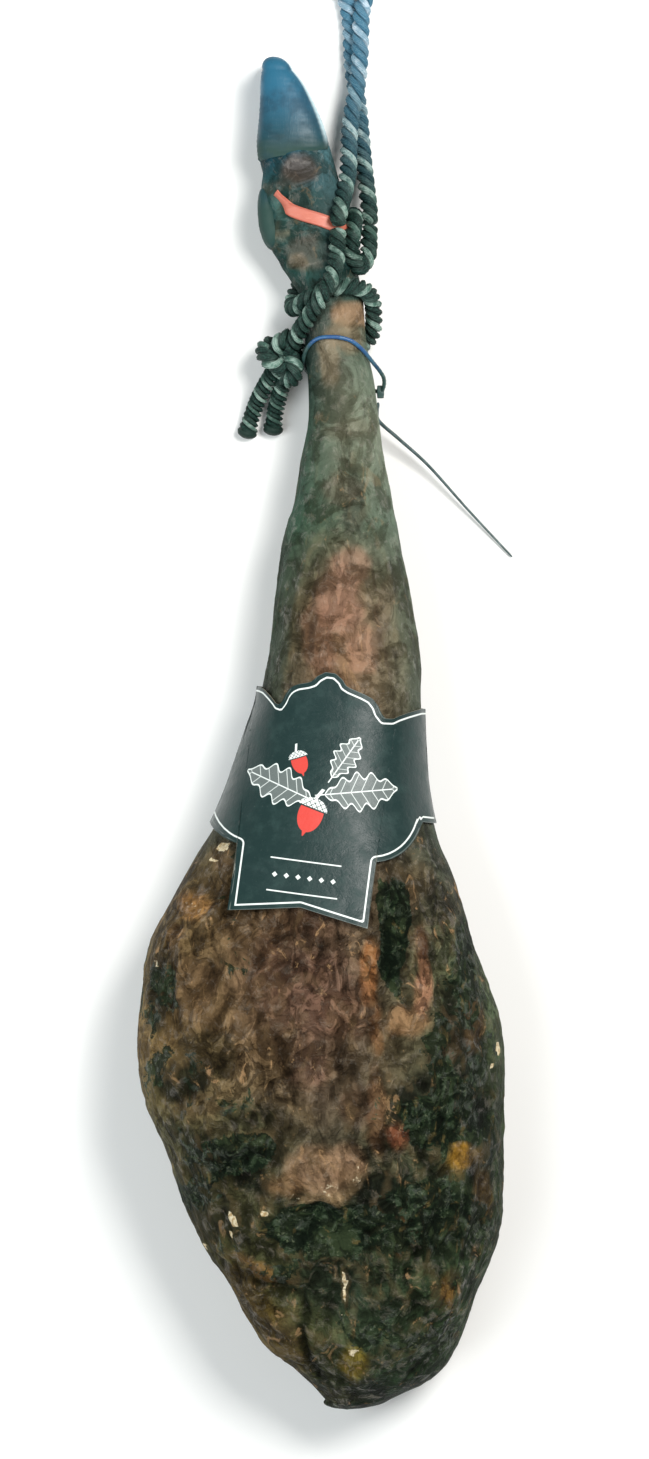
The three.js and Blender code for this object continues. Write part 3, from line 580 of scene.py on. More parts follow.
PALE = [
    (-56.1, 124.6, 2.8, 3.7, 0, 1.3), (-36.9, 127.7, 1.9, 2.5, 0, 1.2), (18.3, 158.1, 1.5, 1.9, 0, 0.8),
    (-58.6, 114.1, 1.9, 1.9, 0, 0.9), (11.8, 81.8, 1.9, 12.6, 10, 0.62), (103.8, 215.1, 1.5, 2.5, 0, 1.1),
    (105.1, 226.9, 1.5, 3.7, 0, 0.9), (-63.5, 350.9, 5.6, 3.1, 20, 0.75), (-69.8, 343.5, 3.1, 2.5, 0, 0.7),
    (-80.3, 314.3, 7.4, 5, 0, 0.5), (-92.7, 292.6, 6.2, 7.4, 0, 0.42), (3.4, 143.8, 9.9, 5, 14, 0.52),
    (17, 150, 5, 8.7, 0, 0.5), (-15.2, 137.6, 8.7, 3.7, 10, 0.5), (-102, 279, 3.1, 3.1, 0, 0.6),
    (17, 41.5, 4.3, 2.5, 0, 0.6), (-74.1, 101.7, 1.9, 3.7, 0, 0.7), (90.2, 165.5, 5, 3.7, 0, 0.5),
    (-21.4, 10.5, 1.9, 1.9, 0, 0.7), (12.7, 62, 1.9, 1.9, 0, 0.6), (-23.9, 731.6, 1.2, 0.9, 0, 0.5),
    (59.2, 255.4, 3.7, 6.2, 0, 0.45),
]
# Lumps and hollows: height, x, y, half width, half height, turn.
LUMPS = [
    (3.2, -6.5, 215.8, 14.9, 16.1, 0), (-2.6, -6.5, 215.8, 24.8, 24.8, 0), (4, -1.5, 151.3, 24.8, 19.8, -8),
    (-3.5, 0.9, 115.9, 27.3, 14.9, 0), (-3, -41.2, 158.7, 21.1, 9.9, 22), (2, -46.2, 171.7, 18.6, 6.2, 22),
    (-3.5, 43.1, 292.6, 8.7, 27.3, 0), (2, 59.2, 275.3, 8.7, 24.8, 0), (2.2, -77.2, 298.8, 18.6, 14.9, 0),
    (2.4, -36.9, 57, 22.3, 31, 36), (-2, 3.4, 81.8, 16.1, 18.6, 0), (1.8, 46.8, 50.8, 18.6, 13.6, 0),
    (2.2, 68.5, 81.8, 14.9, 16.1, 0), (1.6, 49.9, 244.3, 16.1, 7.4, 0), (1.8, 87.1, 162.4, 12.4, 9.9, 0),
    (2.2, 18.9, 31, 14.9, 12.4, 0), (-2.5, -89.6, 199.6, 13.6, 8.7, 10), (1.6, 12.7, 249.2, 14.9, 12.4, 0),
    (1.4, -33.8, 255.4, 13.6, 18.6, 0), (-1.6, 71.6, 112.8, 16.1, 9.9, 0), (2, -55.5, 124.6, 4.3, 5.6, 0),
    (1.2, 17, 556.1, 9.9, 13.6, 0), (1.6, 9.6, 678.3, 13.6, 9.9, 0), (1, -15.2, 773.1, 14.9, 9.9, 0),
]
# Folds and creases in the dried flesh: height, width, and the points that they run through.
FOLDS = [
    (-1.6, 2.2, [(-21.4, 276.5), (-12.1, 279), (-1.5, 277.1), (10.9, 279)]),
    (1.3, 2.4, [(-42.5, 270.3), (-36.3, 276.5), (-28.2, 272.8)]),
    (1.4, 2.6, [(-51.8, 264.7), (-45, 267.8), (-38.7, 261.6), (-36.3, 255.4)]),
    (1.8, 2.6, [
        (-4.7, 269.1), (-15.2, 269.1), (-23.9, 264.1), (-26.4, 257.9),
        (-21.4, 251.7), (-11.5, 250.5)]),
    (-1.5, 2, [(-7.7, 264.1), (-15.2, 261.6), (-17.7, 256.7)]),
    (1.5, 2.6, [(-8.4, 203.4), (-10.2, 193.4), (-7.7, 183.5)]),
    (1.2, 2.4, [(-20.1, 228.2), (-15.2, 234.4), (-4, 234.4), (5.9, 228.2)]),
    (-1.8, 2.4, [(-22.6, 224.4), (-23.9, 212), (-17.7, 199.6)]),
    (-1.6, 2.2, [(9.6, 226.9), (10.9, 212), (4.7, 198.4)]),
    (-2.6, 3, [(-25.1, 129), (-15.2, 127.7), (-1.5, 130.2), (12.7, 129), (23.2, 133.9)]),
    (-2.4, 2.2, [
        (-67.3, 99.2), (-52.4, 91.8), (-33.8, 83.1), (-16.4, 75.6), (-12.1, 63.2),
        (-13.3, 47.7), (-11.5, 35.3), (-5.3, 23.6)]),
    (1.8, 2.6, [(-64.8, 104.8), (-49.3, 98.6), (-30.7, 89.9), (-12.7, 82.5)]),
    (-1.6, 2.4, [(-56.1, 179.8), (-45, 164.9), (-27.6, 156.2), (-22.6, 140.1)]),
    (1.4, 2.4, [(9.6, 255.4), (17, 243), (15.8, 228.2)]),
    (-1.5, 2.2, [(15.8, 218.2), (22, 199.6), (19.5, 181)]),
    (1.6, 2.6, [(28.2, 292.6), (26.4, 274), (29.5, 255.4), (34.4, 236.8)]),
    (-1.4, 2, [(34.4, 212), (39.4, 193.4), (35.7, 174.8)]),
    (1.4, 2.4, [(46.8, 174.8), (54.2, 162.4), (53, 146.3)]),
    (-1.5, 2.2, [(9.6, 96.7), (13.3, 81.8), (14.6, 65.7)]),
    (1.4, 2.6, [(-9, 41.5), (4.7, 47.1), (19.5, 47.1), (30.7, 38.4)]),
    (-1.4, 2.2, [(54.2, 93), (49.3, 81.8), (55.5, 69.4)]),
    (1.2, 2.6, [(-95.8, 298.8), (-85.9, 286.4), (-83.4, 267.8)]),
    (-1.3, 2.2, [(-108.2, 267.8), (-97, 255.4), (-92.1, 236.8)]),
    (-0.9, 1.6, [(-0.3, 539.4), (-10.2, 522), (-14.6, 503.4), (-17, 478.6), (-21.4, 447.6)]),
    (-0.9, 1.6, [(28.8, 539.4), (36.3, 518.9), (41.2, 491), (44.3, 466.2), (45.6, 441.4)]),
    (0.9, 2.2, [(-4, 639.8), (-6.5, 608.8), (-2.8, 577.8)]),
    (-0.8, 1.8, [(12.7, 615), (15.8, 584), (10.9, 553)]),
    (0.9, 2, [(3.4, 540.6), (0.9, 503.4), (-1.5, 466.2)]),
    (-0.8, 1.8, [(15.8, 528.2), (19.5, 491), (17, 453.8)]),
    (0.9, 1.8, [(27, 528.2), (34.4, 491), (36.9, 453.8)]),
    (-0.7, 1.6, [(-30.1, 716.7), (-17.7, 713), (-4, 715.5)]),
    (-0.7, 1.6, [(-32.5, 768.8), (-20.1, 763.8), (-6.5, 766.3)]),
]
# The V-shaped cut: y, and where its left and right edges are.
CUT_EDGES = [
    (7.4, -108.2, 96.4), (280.2, -77.2, 79), (317.4, -64.8, 71.6), (354.6, -46.2, 61.7),
    (404.2, -33.8, 55.5), (441.4, -25.1, 51.8), (478.6, -20.1, 46.8), (503.4, -16.4, 41.8),
    (528.2, -11.5, 35.7), (537.5, -1.5, 29.5),
]
CUT_SKIN = "3c483b"
FOLD_SPAN = 6  # how many of its own widths a fold is worked out over
PUSHED_BY, RAGGED_BY = 0.010, 0.0035  # how far broad noise moves the creases, and ragged edges
LIES_AT = 0.0004  # the skin's lowest height over the floor


def signed_power(value, power):
    return np.sign(value) * np.abs(value)**power


def in_frame(stations):
    """A loft's stations with their x and y moved from the design's axes into the frame."""
    return np.asarray(stations) + [origin[0], origin[1], origin[0], origin[1], 0, 0]


def section_point(stations, t, u, v, offset=0.0):
    """The point of a loft that is u of the way to its side edges and v of the way up or down at t.

    The side edges are Catmull-Rom curves through the stations. Each section is a superellipse about
    its widest height, and an offset moves the point out from it, both sideways and up.
    """
    left_x, left_y, right_x, right_y, low, high = np.moveaxis(rail(stations, t), -1, 0)
    half = np.stack([right_x - left_x, right_y - left_y], -1) / 2
    middle = np.stack([right_x + left_x, right_y + left_y], -1) / 2
    widest = low + WIDEST_HEIGHT * (high - low)
    reach = np.where(v > 0, high - widest, widest - low)
    flat = middle + half * (u * (1 + offset / np.linalg.norm(half, axis=-1)))[..., None]
    return np.concatenate([flat, (widest + v * (reach + offset))[..., None]], -1)


def round_section(stations, t, angle, offset=0.0):
    """The point at an angle round a loft, 0 at its right edge and a quarter turn at its top."""
    t, angle = np.broadcast_arrays(t, angle)
    u = signed_power(np.cos(angle), 2 / SECTION_POWER)
    return section_point(stations, t, u, signed_power(np.sin(angle), 2 / SECTION_POWER), offset)


def noise(points, size, seed, octaves=1, stretch=(1, 1, 1)):
    """Smooth random numbers, -1 to 1: each octave is half as large and half as high as the last.

    An octave has a random number at each corner of a lattice of cubes, mixed across each cube by
    6f⁵ - 15f⁴ + 10f³ along each axis.
    """
    total, weight = 0.0, 0.0
    for octave in range(octaves):
        p = points / (np.array(stretch) * size / 2**octave) + 37.1 * octave
        cell = np.floor(p).astype(np.int64)
        f = p - cell
        f = f**3 * (f * (6 * f - 15) + 10)
        mixed = 0.0
        for corner in np.ndindex(2, 2, 2):
            x, y, z = np.moveaxis(cell + corner, -1, 0)
            key = (x * 374761393 + y * 668265263 + z * 1274126177 + (seed + octave) * 974711) & 0xffffffff
            key = ((key ^ (key >> 13)) * 1274126177) & 0xffffffff
            key = ((key ^ (key >> 16)) * 668265263) & 0xffffffff
            share = np.prod(np.where(corner, f, 1 - f), -1)
            mixed = mixed + share * (((key ^ (key >> 15)) & 0xffff) / 32767.5 - 1)
        total, weight = total + mixed / 2**octave, weight + 0.5**octave
    return total / weight


def oval(place, x, y, half_width, half_height, turn):
    """How far out each point is from the middle of an oval given in millimetres: 1 on its rim.

    It is the hypotenuse of the distances along the oval's two axes, each as a share of that half
    axis. A positive turn leans the oval left.
    """
    c, s = np.cos(np.radians(turn)), np.sin(np.radians(turn))
    right, up = place[..., 0] - x * MM, place[..., 1] - y * MM
    return np.hypot((right * c + up * s) / (half_width * MM), (up * c - right * s) / (half_height * MM))


def from_line(place, points):
    """The distance of each point from a line of straight pieces, each piece's nearest point clamped."""
    points = np.array(points)
    a, d = points[:-1], np.diff(points, axis=0)
    off = place[..., None, :2] - a
    share = np.clip((off * d).sum(-1) / (d * d).sum(-1), 0, 1)
    return np.linalg.norm(off - share[..., None] * d, axis=-1).min(-1)


leg = in_frame(LEG_STATIONS)
fine_t = np.linspace(0, len(leg) - 1, 3000)
fine_y = rail(leg, fine_t)[:, [1, 3]].mean(1)
row_y = np.interp(np.linspace(0, 1, HAM_ROWS), [0, THIGH_ROWS, 1], [fine_y[0], THIGH_TOP, fine_y[-1]])
leg_t = np.interp(row_y, fine_y, fine_t)
fine_angle = np.linspace(0, 2 * np.pi, 4001)
rim = round_section(leg, np.full(len(fine_angle), WIDEST_STATION), fine_angle)
step = np.linalg.norm(np.diff(rim, axis=0), axis=1)
step *= np.where(np.sin(fine_angle[:-1]) > 0, 1, UNDERSIDE_SHARE)
share = np.r_[0, np.cumsum(step)] / step.sum()
leg_angle = np.interp(np.arange(HAM_COLUMNS) / HAM_COLUMNS, share, fine_angle)
skin = round_section(leg, leg_t[:, None], leg_angle[None])


def dome_rows(section, tip, count):
    """Rows that close a section in a dome: its middle moves to the tip by sin, its width shrinks by cos."""
    middle = section.mean(0)
    turn = np.linspace(0, np.pi / 2, count + 1)[1:, None, None]
    return middle + (section - middle) * np.cos(turn) + (np.asarray(tip) - middle) * np.sin(turn)


foot_middle = skin[-1].mean(0)
foot_tip = foot_middle + unit(foot_middle - skin[-12].mean(0)) * 0.0015
rump_dome = dome_rows(skin[0], np.array(RUMP_TIP) + origin, 9)[::-1]
skin = np.vstack([rump_dome, skin, dome_rows(skin[-1], foot_tip, 4)])
place = skin - origin
x, y = place[..., 0], place[..., 1]
normal = unit(np.cross(np.gradient(skin, axis=0), np.roll(skin, -1, 1) - np.roll(skin, 1, 1)))
normal *= np.sign((normal * (skin - skin.mean(1, keepdims=True))).sum(-1).sum())
on_right = np.cos(leg_angle) > 0  # the cut face's mould reaches further round the right side
upper = smooth(np.where(on_right, -0.7, -0.25), np.where(on_right, -0.1, 0.2), np.sin(leg_angle))[None]
left_edge, right_edge = x.min(1)[:, None], x.max(1)[:, None]
across = (x - left_edge) / np.maximum(right_edge - left_edge, 1e-6)

thigh = 1 - smooth(0.28, 0.46, y)
shank = smooth(0.40, 0.50, y) * (1 - smooth(0.60, 0.66, y))
# Dried flesh folds over itself: each layer is 1 - |noise|, sharp at its crests, on a place that is
# itself pushed about by broader noise.
pushed = skin + PUSHED_BY * np.stack([noise(skin, 0.030, 40 + k, 2) for k in range(3)], -1)
folded = (1 - np.abs(noise(pushed, 0.026, 3, 2, (1, 1.5, 1))))**2
creased = (1 - np.abs(noise(pushed, 0.0125, 4, 2, (1, 1.25, 1))))**2
facing_up = smooth(0.15, 0.70, normal[..., 2])
relief = thigh * 0.0030 * noise(skin, 0.060, 1)
relief += (0.2 + 0.8 * facing_up) * thigh * (0.0036 * (folded - 0.55) + 0.0019 * (creased - 0.5))
relief += shank * 0.0011 * (1 - np.abs(noise(skin, 0.012, 6, 3, (1, 4, 1))) * 2)
relief += (0.35 + 0.65 * thigh) * 0.0008 * noise(pushed, 0.006, 7, 2)
relief += 0.0007 * smooth(0.5, 0.7, y) * noise(skin, 0.014, 8, 2)
wobble = RAGGED_BY * np.stack([noise(skin, 0.012, 9, 2), noise(skin, 0.012, 10, 2), 0 * x], -1)
ragged = place + wobble
for height, *where in LUMPS:
    relief += upper * height * MM * smooth(1.25, 0.55, oval(ragged, *where))
for height, width, points in FOLDS:
    height, width, points = height * MM, width * MM, np.array(points) * MM
    near = np.abs(y - points[:, 1].mean()) < np.ptp(points[:, 1]) / 2 + FOLD_SPAN * width
    distance = np.full(x.shape, 1.0)
    distance[near] = from_line(ragged[near], points)
    relief += upper * height * np.exp(-(distance / width)**2)
cut_y, cut_left, cut_right = np.array(CUT_EDGES).T * MM
inside_cut = np.minimum(ragged[..., 0] - np.interp(y, cut_y, cut_left),
                        np.interp(y, cut_y, cut_right) - ragged[..., 0])
inside_cut = inside_cut + 0.2 * np.minimum(0, cut_y[-1] - y)
in_cut = smooth(-0.004, 0.005, inside_cut) * upper
relief += (0.0012 * np.exp(-(inside_cut / 0.005)**2) - 0.0022 * in_cut) * upper * smooth(0.2, 0.32, y)
close_fit = smooth(FITTED_ZONE - ZONE_EASE, FITTED_ZONE + ZONE_EASE, y)
card_low, card_high = CARD_ZONE
under_card = smooth(card_low, card_low + ZONE_EASE, y) * (1 - smooth(card_high - ZONE_EASE, card_high, y))
relief = relief * (1 - 0.55 * close_fit)
relief = np.where(relief > 0, relief * (1 - 0.9 * under_card) * (1 - 0.6 * close_fit), relief)
off_claw = np.abs(place - DEWCLAW_CENTRE) / (DEWCLAW_RADII + [0.0055, 0.006, 0.0055])
relief += 0.0038 * smooth(1.35, 0.75, np.linalg.norm(off_claw, axis=-1))
relief *= 0.25 + 0.75 * smooth(0.0, 0.035, y - y.min())
relief[[0, -1]] = 0
skin = skin + normal * relief[..., None]
skin[..., 2] = np.maximum(skin[..., 2], LIES_AT)



def run_of_tones(heights, codes):
    """The linear colours of hex codes set at heights up the leg, mixed evenly between them."""
    linear = np.array([colour(code) for code in codes])
    return np.stack([np.interp(y, heights, linear[:, k]) for k in range(3)], -1)


side, weight = np.clip(across * 2, 0, 2), np.zeros(x.shape + (3,))
weight[..., 0], weight[..., 2] = np.clip(1 - side, 0, 1), np.clip(side - 1, 0, 1)
weight[..., 1] = 1 - weight[..., 0] - weight[..., 2]
tone_y, *tone_columns = zip(*TONES)
paint = sum(weight[..., k, None] * run_of_tones(tone_y, codes) for k, codes in enumerate(tone_columns))
rind = run_of_tones(RIND_TONE_Y, RIND_TONES)
paint = rind + (paint - rind) * upper[..., None]
for code, *where, strength in DABS:
    amount = strength * upper * smooth(1.25, 0.7, oval(ragged, *where) + 0.22 * noise(skin, 0.010, 11, 2))
    paint = paint + amount[..., None] * (colour(code) - paint)
rim_skin = upper * smooth(0.33, 0.36, y) * (1 - smooth(0.52, 0.55, y)) * smooth(0.002, -0.003, inside_cut)
paint = paint + 0.55 * rim_skin[..., None] * (colour(CUT_SKIN) - paint)
mould = 0.28 + 0.16 * noise(skin, 0.045, 12, 2) - 0.25 * smooth(0.36, 0.5, y) + 0.10 * (1 - upper)
for *where, amount in MOULD:
    mould = mould + (amount - mould) * upper * smooth(1.3, 0.6, oval(ragged, *where))
pale = np.zeros(x.shape)
for *where, amount in PALE:
    pale = np.maximum(pale, amount * upper * smooth(1.25, 0.75, oval(ragged, *where)))
calm = smooth(-0.25, 0.35, noise(skin, 0.050, 14, 2))  # where the flesh dried smooth
dried_share = 0.15 + 0.85 * thigh * (0.45 + 0.55 * upper) * (1 - 0.6 * calm) + 0.30 * in_cut * shank
# Painted shade and highlight: how far each point lies below its neighbours, which the material uses to darken
# hollows and lighten crests.
around = (np.roll(relief, 4, 0) + np.roll(relief, -4, 0) + np.roll(relief, 3, 1) + np.roll(relief, -3, 1)) / 4
hollow_shading = np.clip(0.5 + (around - relief) / 0.0026, 0, 1)

flesh = Finish("cured_skin", Roughness=0.5)
blots, mottle = flesh.noise(0.026, 9, 0.66, warp=0.8), flesh.noise(0.0075, 7, 0.68, warp=0.5)
speck = flesh.noise(0.0022, 3, 0.6)
tufts = flesh.noise(0.014, 8, 0.62, (0.8, 1.3, 1), 1.2)
ridges = flesh.noise(0.015, 5, 0.6, (0.85, 1.35, 1), 0.9, "RIDGED_MULTIFRACTAL")
dried = flesh.attribute("dried")
base = flesh.attribute("paint", "Color")
base = flesh.mix(blots.above(0.53, 0.44) * 0.65, base, flesh.mix(1, base, "8a8472", "MULTIPLY"))
base = flesh.mix(mottle.above(0.53, 0.62) * (0.12 + dried * 0.38), base,
                 flesh.mix(1, base, "5c4c34", "SCREEN"))
base = flesh.mix(mottle.above(0.46, 0.38) * (0.12 + dried * 0.45), base,
                 flesh.mix(1, base, "6c604c", "MULTIPLY"))
base = flesh.mix(tufts.above(0.57, 0.63) * (0.06 + dried * 0.42), base,
                 flesh.mix(1, base, "5e4a30", "SCREEN"))
# Painted shade: the creases that the ridged noise bumps in are darkened.
base = flesh.mix(ridges.above(1.05, 1.35) * (0.06 + dried * 0.50), base,
                 flesh.mix(1, base, "3e3626", "MULTIPLY"))
# Painted shade in the hollows, then a painted highlight on the crests.
base = flesh.mix(flesh.attribute("hollow_shading").above(0.55, 1.0) * 0.5, base,
                 flesh.mix(1, base, "4c4836", "MULTIPLY"))
base = flesh.mix(flesh.attribute("hollow_shading").above(0.45, 0.0) * 0.55, base,
                 flesh.mix(1, base, "4a3c28", "SCREEN"))
# Painted highlight: small pale tan glints on the dried flesh.
base = flesh.mix(tufts.above(0.62, 0.66) * dried * 0.65, base, "b08c64")
green = flesh.mix(mottle.above(0.45, 0.60), "101a10", "2a3a24")
green = flesh.mix(blots.above(0.50, 0.60) * 0.6, green, "36412a")
green = flesh.mix(tufts.above(0.57, 0.62) * blots.above(0.47, 0.56) * 0.85, green, "5a5030")
# Painted shade in the mould's creases.
green = flesh.mix(ridges.above(1.05, 1.35) * 0.6, green, "080e08")
# Painted highlight: pale green glints in the mould.
green = flesh.mix(speck.above(0.60, 0.66) * mottle.above(0.48, 0.54) * 0.35, green, "7a8264")
spread = blots * 0.66 + mottle * 0.20 + tufts * 0.14 + flesh.attribute("mould") * 0.42
base = flesh.mix(spread.above(0.700, 0.722) * 0.96, base, green)
fat = (flesh.attribute("pale") * 0.75 + mottle * 0.3 + speck * 0.25).above(0.66, 0.74)
base = flesh.mix(fat, base, flesh.mix(speck.above(0.35, 0.6), "b79a6c", "e6d8b6"))
flesh.set("Base Color", base)
greasy = mottle.above(0.49, 0.66) * flesh.attribute("facing_up")
flesh.set("Specular IOR Level", greasy * 0.46 + 0.05)
flesh.set("Roughness", 0.56 - greasy * 0.28)
flesh.relief((blots * 1.4 + mottle * 1.1 + speck * 0.20 - ridges * 0.35) * (0.30 + dried * 0.80), 0.0038)
ham = grid_piece("ham_skin", skin, flesh.material, {
    "paint": paint, "mould": mould, "pale": pale, "hollow_shading": hollow_shading, "dried": dried_share,
    "facing_up": facing_up})
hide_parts("ham")

# ---- Claws ----
# Two claws of blue-black horn, side by side, each grown in fine rings from the skin to a blunt tip. The
# front edge of each carries a pale painted highlight.
CLAW_STATIONS = [
    (-0.0418, 0.7816, 0.0026, 0.7884, 0.025, 0.047), (-0.0423, 0.79, 0.001, 0.795, 0.0244, 0.0475),
    (-0.0412, 0.801, -0.0022, 0.804, 0.0244, 0.047), (-0.0403, 0.814, -0.0068, 0.814, 0.025, 0.046),
    (-0.04, 0.825, -0.012, 0.824, 0.026, 0.0445), (-0.0394, 0.832, -0.0172, 0.8312, 0.0276, 0.043),
    (-0.0374, 0.8384, -0.0234, 0.8376, 0.03, 0.0405),
]
CLAW_TIP = (-0.0315, 0.8428, 0.035)
FOOT_CENTRE_HEIGHT = 0.02375  # the two claws mirror each other about this height
CLAW_ROOT = 0.004  # how far each claw starts inside the skin
RING_STEP = 0.0034
RING_HEIGHT = 0.00009
FIRST_STEP = 0.0084  # between the first two stations
CLAW_HALF_WIDTH = 0.018
ON_FLOOR = 0.0003  # the lower claw's lowest height

horn = Finish("black_horn", Roughness=0.3, Specular_IOR_Level=0.3)
clouds, threads = horn.noise(0.016, 5, 0.6), horn.noise(0.0016, 4, 0.6, (0.5, 5, 1))
shade = horn.mix(horn.attribute("toward_tip"), "1b3c42", "28617b")
shade = horn.mix(clouds.above(0.42, 0.68) * 0.6, shade, horn.mix(1, shade, "7fa0a8", "MULTIPLY"))
shade = horn.mix(threads.above(0.58, 0.75) * 0.10, shade, "7fa2aa")
# Painted highlight: a pale strip down each claw's front edge.
shade = horn.mix(horn.attribute("painted_edge_highlight"), shade, "c9e2e8")
shade = horn.mix(horn.attribute("root") * clouds.above(0.15, 0.5), shade, "25403a")
horn.set("Base Color", shade)
horn.set("Roughness", 0.38 + clouds.above(0.4, 0.7) * 0.18 + horn.attribute("root") * 0.25)
horn.relief(threads * 0.35 + clouds, 0.00035)

for name, node, mirrored in (("claw_upper_horn", "claw_upper", False),
                             ("claw_lower_horn", "claw_lower", True)):
    stations = in_frame(CLAW_STATIONS)
    first = stations[0] + (stations[0] - stations[1]) * [1, 1, 1, 1, 0, 0] * CLAW_ROOT / FIRST_STEP
    stations = np.vstack([first, stations])
    t = np.r_[0, np.linspace(0.02, len(stations) - 1.6, 64)]
    angle = 2 * np.pi * np.arange(64) / 64
    claw = round_section(stations, t[:, None], angle[None])
    along = claw[..., 1] - stations[1, 1]
    inset = 1 - 0.06 * smooth(1.0, 0.0, t)[:, None, None]
    middle = claw.mean(1, keepdims=True)
    rings = RING_HEIGHT * np.sin(2 * np.pi * along / RING_STEP + 2.2 * noise(claw, 0.02, 20))
    rings *= smooth(0.056, 0.03, along)
    claw = middle + (claw - middle) * (inset + (rings / CLAW_HALF_WIDTH)[..., None])
    tip = np.array(CLAW_TIP) + origin
    claw = np.vstack([claw[:1] * 0 + middle[0], claw, dome_rows(claw[-1], tip, 10)])
    along = claw[..., 1] - stations[1, 1]
    toward_tip = smooth(0.0, 0.045, along)
    # where the painted highlight lies, along the front edge
    painted_edge_highlight = smooth(0.82, 0.97, np.cos(angle))[None] * smooth(0.0, 0.02, along)
    root = smooth(0.012, 0.0, along + 0.003 * noise(claw, 0.006, 21, 2))
    if mirrored:
        claw[..., 2] = 2 * FOOT_CENTRE_HEIGHT - claw[..., 2]
        claw[..., 2] = np.maximum(claw[..., 2], ON_FLOOR)
    piece = grid_piece(name, claw, horn.material, {"toward_tip": toward_tip, "painted_edge_highlight": painted_edge_highlight, "root": root})
    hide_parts(node)

# ---- Dewclaws ----
# Two small side toes at the back of the foot, dark horn caps that come to a blunt point towards the
# claws and sink into the skin all round.
lower_height = 2 * FOOT_CENTRE_HEIGHT - DEWCLAW_CENTRE[2]
for name, node, height in (("dewclaw_upper_horn", "dewclaw_upper", DEWCLAW_CENTRE[2]),
                           ("dewclaw_lower_horn", "dewclaw_lower", lower_height)):
    # An oval whose width follows the sine of s + 0.22 sin s, so that it is fuller at its root, s being
    # the angle from the root.
    s = np.linspace(0, np.pi, 44)[:, None]
    angle = 2 * np.pi * np.arange(36)[None] / 36
    girth = np.sin(s + 0.22 * np.sin(s)) * (1 + 0.008 * np.sin(s * 26))
    toe = np.stack([girth * np.cos(angle), -np.cos(s) + 0 * angle, girth * np.sin(angle)], -1) * DEWCLAW_RADII
    toe = turned_flat(toe, DEWCLAW_LEAN) + [DEWCLAW_CENTRE[0], DEWCLAW_CENTRE[1], height] + origin
    toe = toe + 0.0004 * noise(toe, 0.006, 22, 2)[..., None] * [1, 0, 1] * np.sin(s)[..., None]
    piece = grid_piece(name, toe, horn.material, {
        "toward_tip": 0 * s, "painted_edge_highlight": 0 * s, "root": 0.35 + 0.65 * smooth(2.9, 1.6, s)})
    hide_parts(node)

# ---- Card ----
# A glossy black card that goes once round the leg, glued to itself at the back. Its top edge is a
# crown, and a panel hangs down its front. A sprig of oak, two rules and a thin border are printed in
# pale ink. It has its own axes, across (p) and along (q), turned clockwise from the leg's.
CARD_CENTRE = np.array([-0.0028, 0.3918])
CARD_TILT = np.radians(7.5)
CARD_MIDDLE = -0.002  # the p of its line of symmetry
CARD_THICKNESS = 0.0009
CARD_CLEARANCE = 0.0018
PANEL_HALF_WIDTH = 0.0425
PANEL_NOTCH, PANEL_CORNER = -0.0780, -0.0855
BACK_TOP, BACK_BOTTOM = 0.053, -0.017
STRAIGHT_SHARE = 0.9
FRONT_HALF = 0.070  # the columns of the front are set out by p as far as this
COLUMN_STEP = 0.0011
BACK_COLUMNS = 70
LEFT_CLOSING = 0.85  # the crown's left half is wrapped further round the leg
CARD_ROWS = 110
# How high the top edge is, and how low the band's bottom edge, by distance from the middle.
CROWN = [(0, .0665), (.003, .0665), (.008, .063), (.010, .060), (.013, .0586), (.022, .056), (.027, .054),
         (.031, .050), (.033, .046), (.036, .043), (.041, .0435), (.044, .0455), (.050, .0485), (.058, .052),
         (.064, BACK_TOP)]
BAND_BOTTOM = [(PANEL_HALF_WIDTH, -.0445), (.0470, -.0432), (.0512, -.0413), (.0550, -.0388), (.0585, -.0357),
               (.0615, -.0320), (.0640, -.0277), (.0660, -.0228), (.0674, BACK_BOTTOM)]
BORDER_INSET, BORDER_WIDTH = 0.0026, 0.0010
BEAD_STEP = 0.0072  # between the small diamonds of the printed row


def card_axes(points):
    flat = points[..., :2] - origin[:2] - CARD_CENTRE
    return (flat[..., 0] * np.cos(CARD_TILT) - flat[..., 1] * np.sin(CARD_TILT),
            flat[..., 0] * np.sin(CARD_TILT) + flat[..., 1] * np.cos(CARD_TILT))


def halved(low, high, too_low):
    """Halves the span between low and high again and again towards where too_low turns false."""
    for _ in range(26):
        middle = (low + high) / 2
        below = too_low(middle)
        low, high = np.where(below, middle, low), np.where(below, high, middle)
    return low


def on_card(angle, q, offset):
    """The card's point at an angle round the leg and a height q up the card.

    On the front, a column keeps its p, so it runs straight up the card, whatever the leg's width. Past
    STRAIGHT_SHARE of the way to the sides it eases over into the skin's own columns.
    """
    u0 = signed_power(np.cos(angle), 2 / SECTION_POWER)
    upper = np.sin(angle) > 0
    straight = np.where(upper, 1 - smooth(STRAIGHT_SHARE, 1, np.abs(u0)), 0)
    waist_t = halved(np.zeros(()), np.full((), len(leg) - 1.0),
                     lambda t: round_section(leg, t, np.pi / 2)[1] - origin[1] < CARD_CENTRE[1])
    waist = rail(leg, waist_t)
    waist_x = (waist[0] + waist[2]) / 2 + u0 * (waist[2] - waist[0]) / 2

    def point(t):
        row = rail(leg, t)
        half_x = (row[..., 2] - row[..., 0]) / 2
        lean = np.tan(CARD_TILT) * ((row[..., 1] + row[..., 3]) - (waist[1] + waist[3])) / 2
        held = (waist_x + lean - (row[..., 0] + row[..., 2]) / 2) / half_x
        u = np.clip(u0 + straight * (held - u0), -1, 1)
        v = (1 - np.abs(u)**SECTION_POWER)**(1 / SECTION_POWER)
        return section_point(leg, t, u, np.where(upper, v, -v), offset)

    t = halved(np.zeros(q.shape), np.full(q.shape, len(leg) - 1.0), lambda t: card_axes(point(t))[1] < q)
    return point(t)


